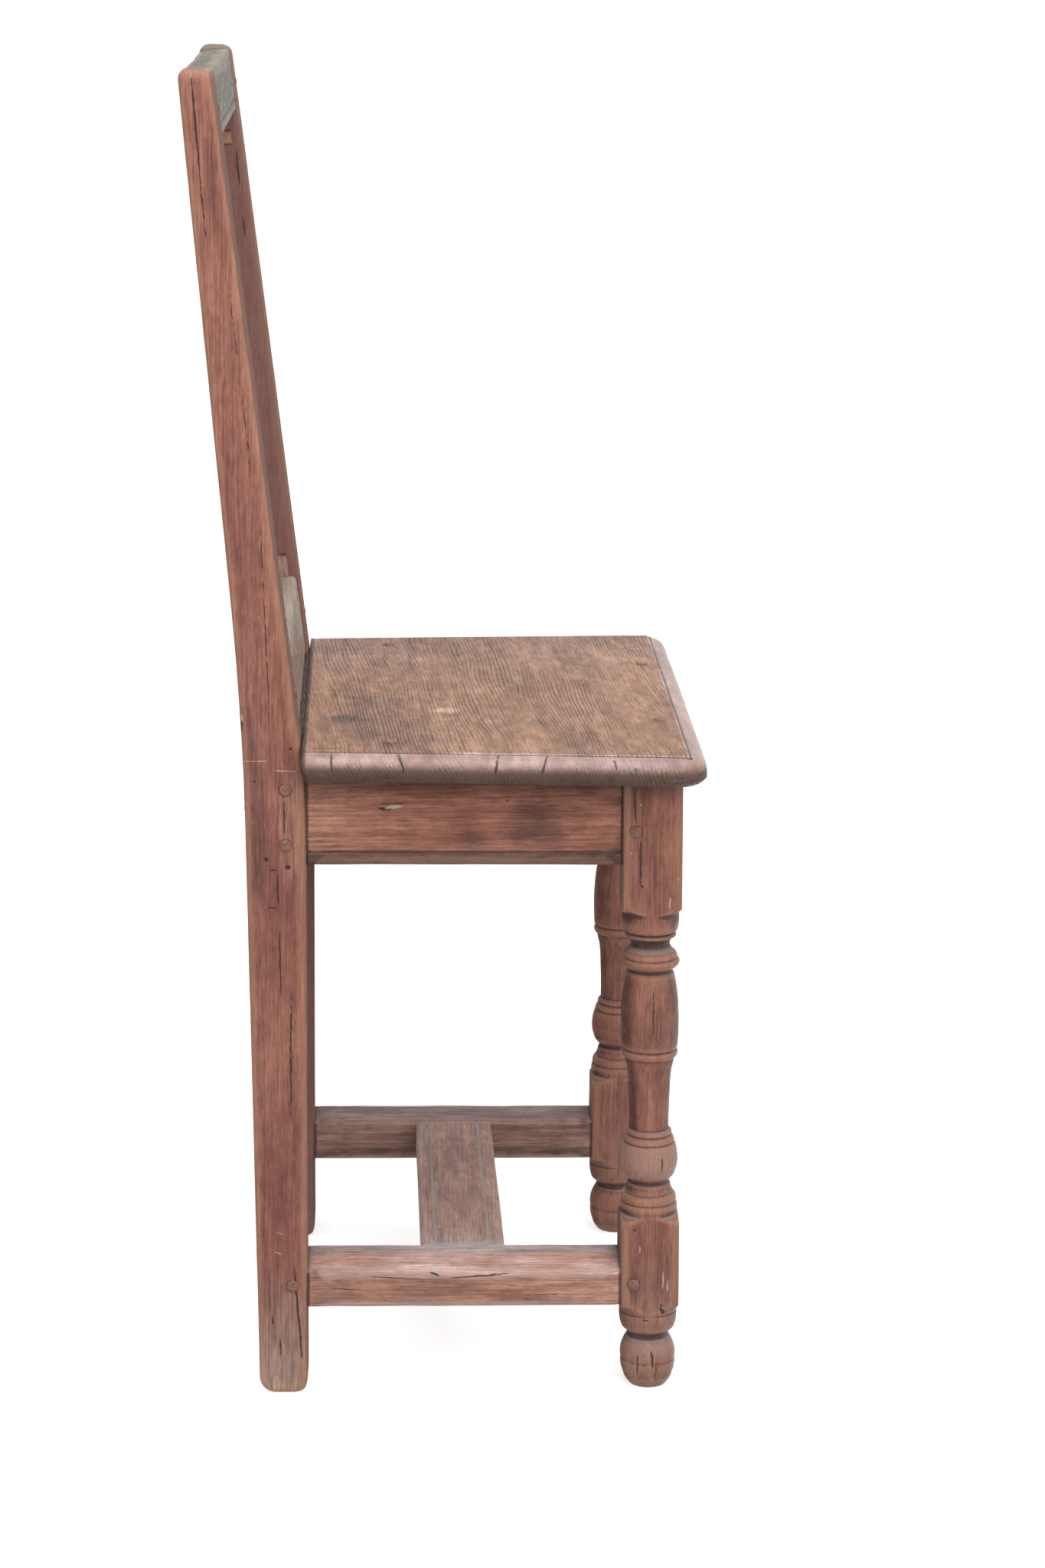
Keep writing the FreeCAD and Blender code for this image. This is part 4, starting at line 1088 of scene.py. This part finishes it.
seat_oak = oak_finish(
    "seat_oak", "x", (0, 430, 300), (186, 142, 112), (118, 84, 68), (190, 152, 132),
    ring=2.7, ring_share=0.62, wander=4.6, lean=3.8, roughness=0.52, patina_share=0.30, dust_share=0.15,
    pore_share=0.6, wear_share=0.12, polished=both(rim, band("z", 499, 507)),
    marks=over_nose(36, 1.25, -3.0) + over_nose(-38, 1.1, 1.5) + over_nose(-74, 1.1, 3.0)
    + over_nose(84, 1.0) + over_nose(-120, 0.8, -3.0, 20) + strokes(-226, (-138, 503, 2.6))
    + on_top((-196, 33, -210, 37, 0.9), (-196, 101, -190, 66, 1.4), (-30, 66, -44, 20, 0.9),
             (-204, -66, -214, -76, 0.7), (14, -157, 14, -163, 1.0), (-46, -157, -47, -162, 0.8),
             (-138, -165, -136, -176, 0.8)),
    pale_marks=on_top((-80, 0, -66, -10, 2.4), (-150, -160, -152, -168, 1.0))
    + strokes(-222, (-176, 504, -178, 500, 1.2)),
    washes=[
        ((118, 88, 78), 0.6, clouds(10, 0.50, 0.66, 6.0)),
        ((182, 142, 114), 0.45, clouds(12, 0.56, 0.70, 1.0)),
        ((130, 102, 92), 0.5, band("x", 20, 200)), ((72, 58, 54), 0.9, around((-95, 75, 512), 20)),
        # The second wash, pale mauve over the rim, is a painted highlight of the rounded nose
        ((204, 180, 166), 0.6, around((-62, -2, 512), 14)), ((178, 150, 144), 0.92, rim),
        ((136, 104, 96), 0.6, both(rim, clouds(26, 0.46, 0.62, 9.0))),
        ((150, 114, 98), 0.75, both(rim, band("y", -176, -184))),
        # Painted shade on the lower half of the rounded nose
        ((58, 37, 32), 0.94, both(rim, band("z", 505.5, 498.5))),
        ((40, 28, 26), 0.9, both(from_rim(14.6, 13.9), from_rim(12.2, 12.9), clouds(30, 0.34, 0.48, 2.0))),
        # Painted highlight just inside the scratched line, on the front half of the seat
        ((196, 186, 184), 0.5, both(from_rim(16.2, 15.4), from_rim(14.0, 14.6), band("y", 10, -20),
                                    clouds(18, 0.38, 0.52, 5.0))),
        ((32, 22, 20), 0.92, band("y", seat_rear - 2.2, seat_rear - 0.6))])
print("seat finish:", len(seat_oak.node_tree.nodes), "nodes")

# %% [markdown]
# ## The seat
# The seat is one riven plank, wider at the front, with a round nose on three sides and a scratched line
# inside it. Its rows follow the front edge and its columns follow the slanting ends, closer together
# near the edges, so the rounded rim and the line keep their shape. Height depends only on the distance
# to the edge. Use has hollowed the middle and chewed the rim.

# %% Shape the seat
near_edge = np.array([0, 0.25, 0.9, 1.9, 3.2, 4.8, 6.6, 8.6, 10.6, 12.0, 12.6, 13.5, 14.4, 15.0,
                      16.8, 19.0])
even_from, even_step, full_front = 21.5, 2.6, 2 * half_front
columns = np.concatenate([near_edge, stops(even_from, full_front - even_from, even_step),
                          full_front - near_edge[::-1]])
rows = np.concatenate([near_edge, stops(even_from, seat_rear - seat_front, even_step)])
grid_y = seat_front + rows[None, :].repeat(len(columns), 0)
grid_x = (columns[:, None] - half_front) / half_front * half_width(grid_y)
from_end = half_width(grid_y) - np.abs(grid_x)
corner_in = np.clip(corner_round - from_end, 0, corner_round)
start_y = corner_round - np.sqrt(corner_round ** 2 - corner_in ** 2)
keep = np.clip(1 - rows / 60.0, 0, 1)[None, :]
grid_y = grid_y + start_y[:, :1] * keep
grid_x = np.sign(grid_x) * (half_width(grid_y) - from_end)
from_front = grid_y - seat_front
from_edge = np.minimum(from_end, from_front)
corner_x = np.clip(corner_round - from_end, 0, None)
corner_y = np.clip(corner_round - from_front, 0, None)
in_corner = (corner_x > 0) & (corner_y > 0)
inside = np.clip(np.where(in_corner, corner_round - np.hypot(corner_x, corner_y), from_edge), 0, None)
rounded = rounding(inside, nose_round)
groove = 1.1 * np.clip(1.2 - np.abs(from_edge - line_inset) / 1.2, 0, 1)
step = 0.9 * np.clip((line_inset + 0.5 - from_edge) / 0.6, 0, 1)
top = seat_top - rounded - groove - step * np.clip(1 - rounded / 6, 0, 1)
bottom = seat_underside + np.clip(under_bevel - inside, 0, under_bevel)
lean = post_front(seat_top) - post_front(seat_underside)
leaning = np.clip(1 - (seat_rear - grid_y) / 30, 0, 1) * lean
upper = np.stack([grid_x, grid_y + leaning, top], 2).reshape(-1, 3)
lower = np.stack([grid_x, grid_y, bottom], 2).reshape(-1, 3)
across, deep = grid_x.shape
offset = across * deep
faces = []
for column in range(across - 1):
    for row in range(deep - 1):
        a = column * deep + row
        faces.append((a, a + deep, a + deep + 1, a + 1))
        faces.append((offset + a, offset + a + 1, offset + a + deep + 1, offset + a + deep))
edge = [column * deep for column in range(across)]
edge += [(across - 1) * deep + row for row in range(1, deep)]
edge += [column * deep + deep - 1 for column in range(across - 2, -1, -1)]
edge += [row for row in range(deep - 2, 0, -1)]
for at, after in zip(edge, edge[1:] + edge[:1]):
    faces.append((at, offset + at, offset + after, after))
seat = from_faces("seat_plank", np.concatenate([upper, lower]), faces, seat_oak)
dents = [((-60, 10, seat_top), 110, 1.5), ((-175, 60, seat_top), 40, 0.8),
         ((-150, -150, seat_top), 30, 0.7)]
aged(seat, wave=0.5, bites=0.4, stretch=(1.6, 1.6, 1), dents=dents, seed=41)

# %% [markdown]
# ## The tongue
# A tongue of the same plank runs back between the posts, over the rear rail. It is a plain bar, joined
# to the seat's mesh so that the plank stays one piece.

# %% Join the tongue to the seat
tongue_front, tongue_low = seat_rear - 5, seat_underside + 0.3
tongue_outline = section(((tongue_front, tongue_low, 0.5), (rear_high[1], tongue_low, 1.2),
                          (rear_high[1], seat_top - 1, 1.0), (tongue_front, seat_top - 1.4, 0.5)),
                         (18, 8, 18, 8))
loops = [across_chair(tongue_outline, x) for x in stops(inner_x + 1, -inner_x - 1, 3.0)]
tongue = aged(skin("tongue", loops, seat_oak), wave=0.2, bites=0.3, seed=44)
joined = bmesh.new()
joined.from_mesh(seat.data)
joined.from_mesh(tongue.data)
joined.to_mesh(seat.data)
joined.free()
bpy.data.objects.remove(tongue)
finished(seat, "seat_oak", "seat_board")

# %% [markdown]
# ## The outline of the turning
# A turner marks the heights of the beads and coves on the spinning blank and cuts to each radius. The
# tables say the same: a height, a radius and, where the run between two heights bulges or sinks, the
# radius halfway. A light smoothing at the end eases the arrises that the tool left.

# %% The outline of the turning
upper_block, lower_block, shoulder, block_low = 102.0, 63.0, 7.0, 71.5
turn_top = seat_underside - upper_block - shoulder
turn_bottom = block_low + lower_block + shoulder
half_square = (leg_high[0] - leg_low[0]) / 2
turning = (
    (378.5, 21.8, 0), (366.0, 20.7, 21.8), (364.6, 18.4, 0), (363.4, 18.2, 0), (362.6, 19.8, 0),
    (361.2, 19.6, 0), (360.4, 17.6, 0), (349.8, 18.0, 14.9), (349.0, 19.2, 0), (345.2, 21.0, 20.4),
    (344.4, 20.0, 0), (343.6, 21.4, 0), (340.4, 22.0, 22.9), (336.6, 18.9, 21.2), (335.2, 17.0, 0),
    (333.4, 17.0, 0), (332.4, 18.2, 0), (318.0, 20.9, 19.8), (293.0, 22.3, 21.9), (273.4, 21.4, 22.0),
    (272.2, 19.8, 0), (271.0, 21.5, 0), (266.6, 20.8, 21.7), (265.2, 19.0, 0), (264.0, 18.9, 0),
    (257.0, 17.2, 18.2), (240.0, 15.9, 16.3), (216.0, 15.1, 15.4), (208.0, 15.2, 0), (207.0, 17.2, 0),
    (204.6, 17.7, 0), (203.4, 16.2, 0), (202.2, 18.6, 0), (198.8, 19.8, 0), (197.6, 18.5, 0),
    (196.4, 20.4, 0), (185.5, 22.2, 21.7), (174.5, 20.4, 22.0), (168.6, 16.8, 19.4), (167.2, 15.8, 0),
    (165.0, 15.8, 0), (163.8, 17.0, 0), (158.2, 18.6, 17.2), (157.2, 17.6, 0), (156.2, 20.2, 0),
    (150.8, 21.4, 21.2), (149.8, 20.6, 0), (148.8, 21.7, 0), (144.0, 22.2, 22.3))
foot = (
    (66.5, 25.2, 0), (62.0, 22.9, 0), (60.8, 21.9, 0), (59.8, 22.6, 0), (47.0, 20.4, 22.1), (43.8, 16.6, 0),
    (40.2, 16.0, 0), (38.6, 17.2, 0), (22.0, 21.2, 20.8), (20.8, 20.6, 0), (19.6, 21.2, 0),
    (9.0, 19.2, 20.9), (2.0, 15.8, 18.2), (0.0, 14.4, 0))
beyond = half_square * math.sqrt(2) + 1
knots = [(seat_underside, 0, 0), (seat_underside, beyond, 0), (turn_top + shoulder, beyond, 0),
         (turn_top, half_square, 0), *turning, (turn_bottom, half_square, 0),
         (turn_bottom - shoulder, beyond, 0), (block_low, beyond, 0), *foot, (0, 0, 0)]
outline = [np.array(knots[0][1::-1], float)]
for before, knot in zip(knots, knots[1:]):
    start, end = np.array(before[1::-1], float), np.array(knot[1::-1], float)
    middle = (start + end) / 2
    if knot[2]:
        middle[0] = 2 * knot[2] - middle[0]
    plain_run = start[0] > half_square and end[0] > half_square
    steps = max(2, int(round(np.linalg.norm(end - start) / (2.6 if plain_run else 1.1))))
    for t in np.arange(1, steps + 1) / steps:
        outline.append(start * (1 - t) ** 2 + middle * 2 * t * (1 - t) + end * t * t)
outline = np.array(outline)
outline[1:-1] = (outline[:-2] + outline[1:-1] * 6 + outline[2:]) / 8
print("turned outline:", len(outline), "points")

# %% [markdown]
# ## A lathe of nodes
# A turned leg follows one rule: at each height and angle its surface is either the lathe's radius or
# the face of the square timber, whichever is nearer to the middle. Where a turned shoulder is wider than
# the square it leaves the arched shoulders of the blocks by itself. Geometry Nodes works the rule out:
# a flat grid is rolled up, each row reads its radius and height from the outline of the turning, and
# the square's reach at that angle cuts it down.

# %% The tree that turns a leg
turner, given, leg_sockets = new_tree(
    "turn_a_leg", "Geometry",
    [("Outline", "Geometry", None), ("Sides", "Int", 120), ("Half Square", "Float", 0.0225),
     ("Arris", "Float", 26.0), ("Middle", "Vector", (0, 0, 0)), ("Oak", "Material", None)],
    [("Leg", "Geometry")])
points_count = turner.read("GeometryNodeAttributeDomainSize", {"Geometry": given["Outline"]})
sheet = turner.read("GeometryNodeMeshGrid", {"Size X": 1.0, "Size Y": 1.0, "Vertices Y": points_count,
                                             "Vertices X": given["Sides"] + 1.0})
flat_x, flat_y, _ = turner.parts(turner.read("GeometryNodeInputPosition"))
angle = flat_x * (2 * math.pi)
row = turner.math("ROUND", (flat_y + 0.5) * (points_count - 1.0))
sample = turner.read("GeometryNodeSampleIndex", {
    "Geometry": given["Outline"], "Value": turner.read("GeometryNodeInputPosition"), "Index": row}, "Value",
    data_type="FLOAT_VECTOR", domain="POINT")
turned_radius, _, turned_height = turner.parts(sample)
cosine, sine = turner.math("COSINE", angle), turner.math("SINE", angle)
powers = [turner.math("POWER", turner.math("ABSOLUTE", v), given["Arris"]) for v in (cosine, sine)]
squareness = turner.math("POWER", powers[0] + powers[1], turner.math("DIVIDE", 1.0, given["Arris"]))
radius = turner.math("SMOOTH_MIN", turned_radius, given["Half Square"] / squareness, 0.0012)
surface = turner.joined(radius * cosine, radius * sine, turned_height) + given["Middle"]
rolled = turner.read("GeometryNodeSetPosition", {"Geometry": sheet, "Position": surface})
closed = turner.read("GeometryNodeMergeByDistance", {"Geometry": rolled, "Distance": 0.00004})
whole = turner.read("GeometryNodeRealizeInstances", {"Geometry": closed})
stained = turner.read("GeometryNodeSetMaterial", {"Geometry": whole, "Material": given["Oak"]})
turner.add("NodeGroupOutput", {"Leg": stained})
print("lathe:", len(turner.tree.nodes), "nodes")

# %% [markdown]
# ## Turned front legs
# The tree is run once for each leg, with its inputs set by socket identifier before it is evaluated.
# The result becomes a plain mesh and is worn like every other piece.

# %% Turn both legs


def made_by(tree, name, source, values):
    """Runs a geometry tree on a source mesh and returns the result as a plain mesh object."""
    holder = bpy.data.objects.new(name, source)
    scene.collection.objects.link(holder)
    modifier = holder.modifiers.new("tree", "NODES")
    modifier.node_group = tree
    for identifier, value in values.items():
        modifier[identifier] = value
    bpy.context.view_layer.update()
    depsgraph = bpy.context.evaluated_depsgraph_get()
    result = bpy.data.meshes.new_from_object(holder.evaluated_get(depsgraph))
    holder.modifiers.remove(modifier)
    holder.data = result
    face_outward(result)
    return holder


outline_points = np.column_stack([outline[:, 0], np.zeros(len(outline)), outline[:, 1]]) * MM
leg_middle_y = (leg_high[1] + leg_low[1]) / 2
for side, word, seed in ((-1, "right", 51), (1, "left", 54)):
    drawing = bpy.data.meshes.new("leg_outline")
    drawing.from_pydata(outline_points.tolist(), [(i, i + 1) for i in range(len(outline) - 1)], [])
    leg = made_by(turner.tree, word + "_leg", drawing, {
        leg_sockets["Sides"]: 144,
        leg_sockets["Half Square"]: half_square * MM,
        leg_sockets["Middle"]: (side * leg_middle_x * MM, leg_middle_y * MM, 0.0),
        leg_sockets["Oak"]: leg_oak})
    aged(leg, wave=0.15, bites=0.15, stretch=(1, 1, 3), seed=seed, gain=3.4)
    finished(leg, "leg_oak", word + "_front_leg")

# %% [markdown]
# ## Pegs
# Riven pegs hold every joint. They are split, not turned, so their heads are rough eight-sided domes that
# stand a little proud. One tree sets a peg on each point of a small mesh, turned the way it was driven.

# %% The tree that drives pegs
driver, given, peg_sockets = new_tree(
    "drive_pegs", "Geometry",
    [("Heads", "Geometry", None), ("Sides", "Int", 8), ("Length", "Float", 0.012),
     ("Dome", "Float", 0.0014), ("Seed", "Int", 5), ("Oak", "Material", None)],
    [("Pegs", "Geometry")])
shaft = driver.named("GeometryNodeMeshCylinder", {"Vertices": given["Sides"], "Radius": 1.0,
                                                  "Depth": given["Length"]}, fill_type="NGON")
solid, face = shaft["Mesh"], shaft["Top"]
for shrink, rise in ((0.90, 0.45), (0.70, 0.30), (0.45, 0.15)):
    dome = driver.named("GeometryNodeExtrudeMesh", {"Mesh": solid, "Selection": face,
                                                    "Offset Scale": given["Dome"] * rise})
    solid, face = driver.read("GeometryNodeScaleElements", {
        "Geometry": dome["Mesh"], "Selection": dome["Top"], "Scale": shrink}), dome["Top"]
drive = driver.read("GeometryNodeInputNamedAttribute", {"Name": "drive"}, data_type="FLOAT_VECTOR")
girth = driver.read("GeometryNodeInputNamedAttribute", {"Name": "girth"}, data_type="FLOAT")
facing = driver.read("FunctionNodeAlignRotationToVector", {"Vector": driver.vector("SCALE", drive, -1.0)},
                     axis="Z")
sunk = driver.vector("SCALE", drive, given["Length"] * 0.5)
seated = driver.read("GeometryNodeSetPosition", {"Geometry": given["Heads"], "Offset": sunk})
pegs_set = driver.read("GeometryNodeInstanceOnPoints", {
    "Points": seated, "Instance": solid, "Rotation": facing, "Scale": driver.joined(girth, girth, 1.0)})
real = driver.read("GeometryNodeRealizeInstances", {"Geometry": pegs_set})
rough_cut = 0.0003
shake = driver.read("FunctionNodeRandomValue", {"Min": (-rough_cut,) * 3, "Max": (rough_cut,) * 3,
                                                "Seed": given["Seed"]}, data_type="FLOAT_VECTOR")
riven = driver.read("GeometryNodeSetPosition", {"Geometry": real, "Offset": shake})
stained = driver.read("GeometryNodeSetMaterial", {"Geometry": riven, "Material": given["Oak"]})
driver.add("NodeGroupOutput", {"Pegs": stained})
print("peg driver:", len(driver.tree.nodes), "nodes")

# %% [markdown]
# ## The pegs' places
# A peg's place is the middle of its head, with the way it was driven and half its thickness. Only the
# right half of the chair is listed, because the left half mirrors it.

# %% Set the pegs
inward, backward, forward, down = (1, 0, 0), (0, 1, 0), (0, -1, 0), (0, 0, -1)
rake_in = (0, math.cos(rake), -math.sin(rake))
half_peg, half_back_peg = 4.8, 4.0
peg_rows = {
    "leg_seat_rail_pegs": [((outer_x, leg_peg_y, leg_peg_z), inward, half_peg)],
    "post_seat_rail_pegs": [((outer_x, post_peg_y, z), inward, half_peg) for z in post_peg_heights],
    "front_rail_pegs": [((-153.3, leg_low[1], 431.4), backward, half_peg),
                        ((-153.3, leg_low[1], 461.6), backward, half_peg)],
    "rear_rail_pegs": [((-155.5, 148.40, 457), forward, half_peg)],
    "leg_stretcher_pegs": [((outer_x, leg_peg_y, low_peg_z), inward, half_peg)],
    "post_stretcher_pegs": [((outer_x, foot_peg_y, low_peg_z), inward, half_peg)],
    "top_rail_pegs": [((-155.5, 164.36, 972.71), rake_in, half_back_peg)],
    "lower_back_rail_pegs": [((-155.5, 111.11, 545.05), rake_in, half_back_peg)],
    "seat_pegs": [((-100, -164.24, seat_top), down, half_peg),
                  ((-173.5, 40.76, seat_top), down, half_peg)],
}
grey_pegs = ("seat_pegs", "top_rail_pegs", "lower_back_rail_pegs")
for node, right_pegs in peg_rows.items():
    all_pegs = right_pegs + [((-p[0], p[1], p[2]), (-d[0], d[1], d[2]), r) for p, d, r in right_pegs]
    places, directions, halves = zip(*all_pegs)
    heads = bpy.data.meshes.new(node)
    heads.from_pydata([[v * MM for v in place] for place in places], [], [])
    heads.attributes.new("drive", "FLOAT_VECTOR", "POINT").data.foreach_set(
        "vector", np.array(directions, np.float32).ravel())
    heads.attributes.new("girth", "FLOAT", "POINT").data.foreach_set(
        "value", np.array([half * MM for half in halves], np.float32))
    pegs = made_by(driver.tree, node.replace("_pegs", "_riven_pegs"), heads, {
        peg_sockets["Seed"]: len(node),
        peg_sockets["Oak"]: grey_peg_oak if node in grey_pegs else peg_oak})
    pegs.data.polygons.foreach_set("use_smooth", [False] * len(pegs.data.polygons))
    finished(pegs, "peg_oak", node)

# %% [markdown]
# ## Scraps in the old mortises
# The posts' mortises run on past the rails' tenons, and scraps of wood fill them. They are plain blocks
# flush with the posts, so the CAD's own solids serve, with a finish of their own that carries painted
# shadow, black, at the upper and lower ends.

# %% Stain the scraps
painted_shadow_black = (44, 32, 30)
for name, node, light, dark in (
        ("tan_scrap", "top_mortise_scraps", (190, 148, 120), (150, 108, 86)),
        ("pale_scrap", "lower_mortise_scraps", (200, 166, 154), (156, 122, 112))):
    low, high = span(node)
    stain = oak_finish(name, "z", (-170, 140, 0), light, dark, light, washes=[
        # Painted shadow at the upper and lower ends of each scrap
        (painted_shadow_black, 0.9, band("z", high[2] - 3.5, high[2] - 1)),
        (painted_shadow_black, 0.9, band("z", low[2] + 3.0, low[2] + 1)),
        ((96, 74, 68), 0.7, clouds(60, 0.48, 0.6, 3.0))])
    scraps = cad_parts[node]
    scraps.data.materials.clear()
    scraps.data.materials.append(stain)
    print(node, "stained with", stain.name)
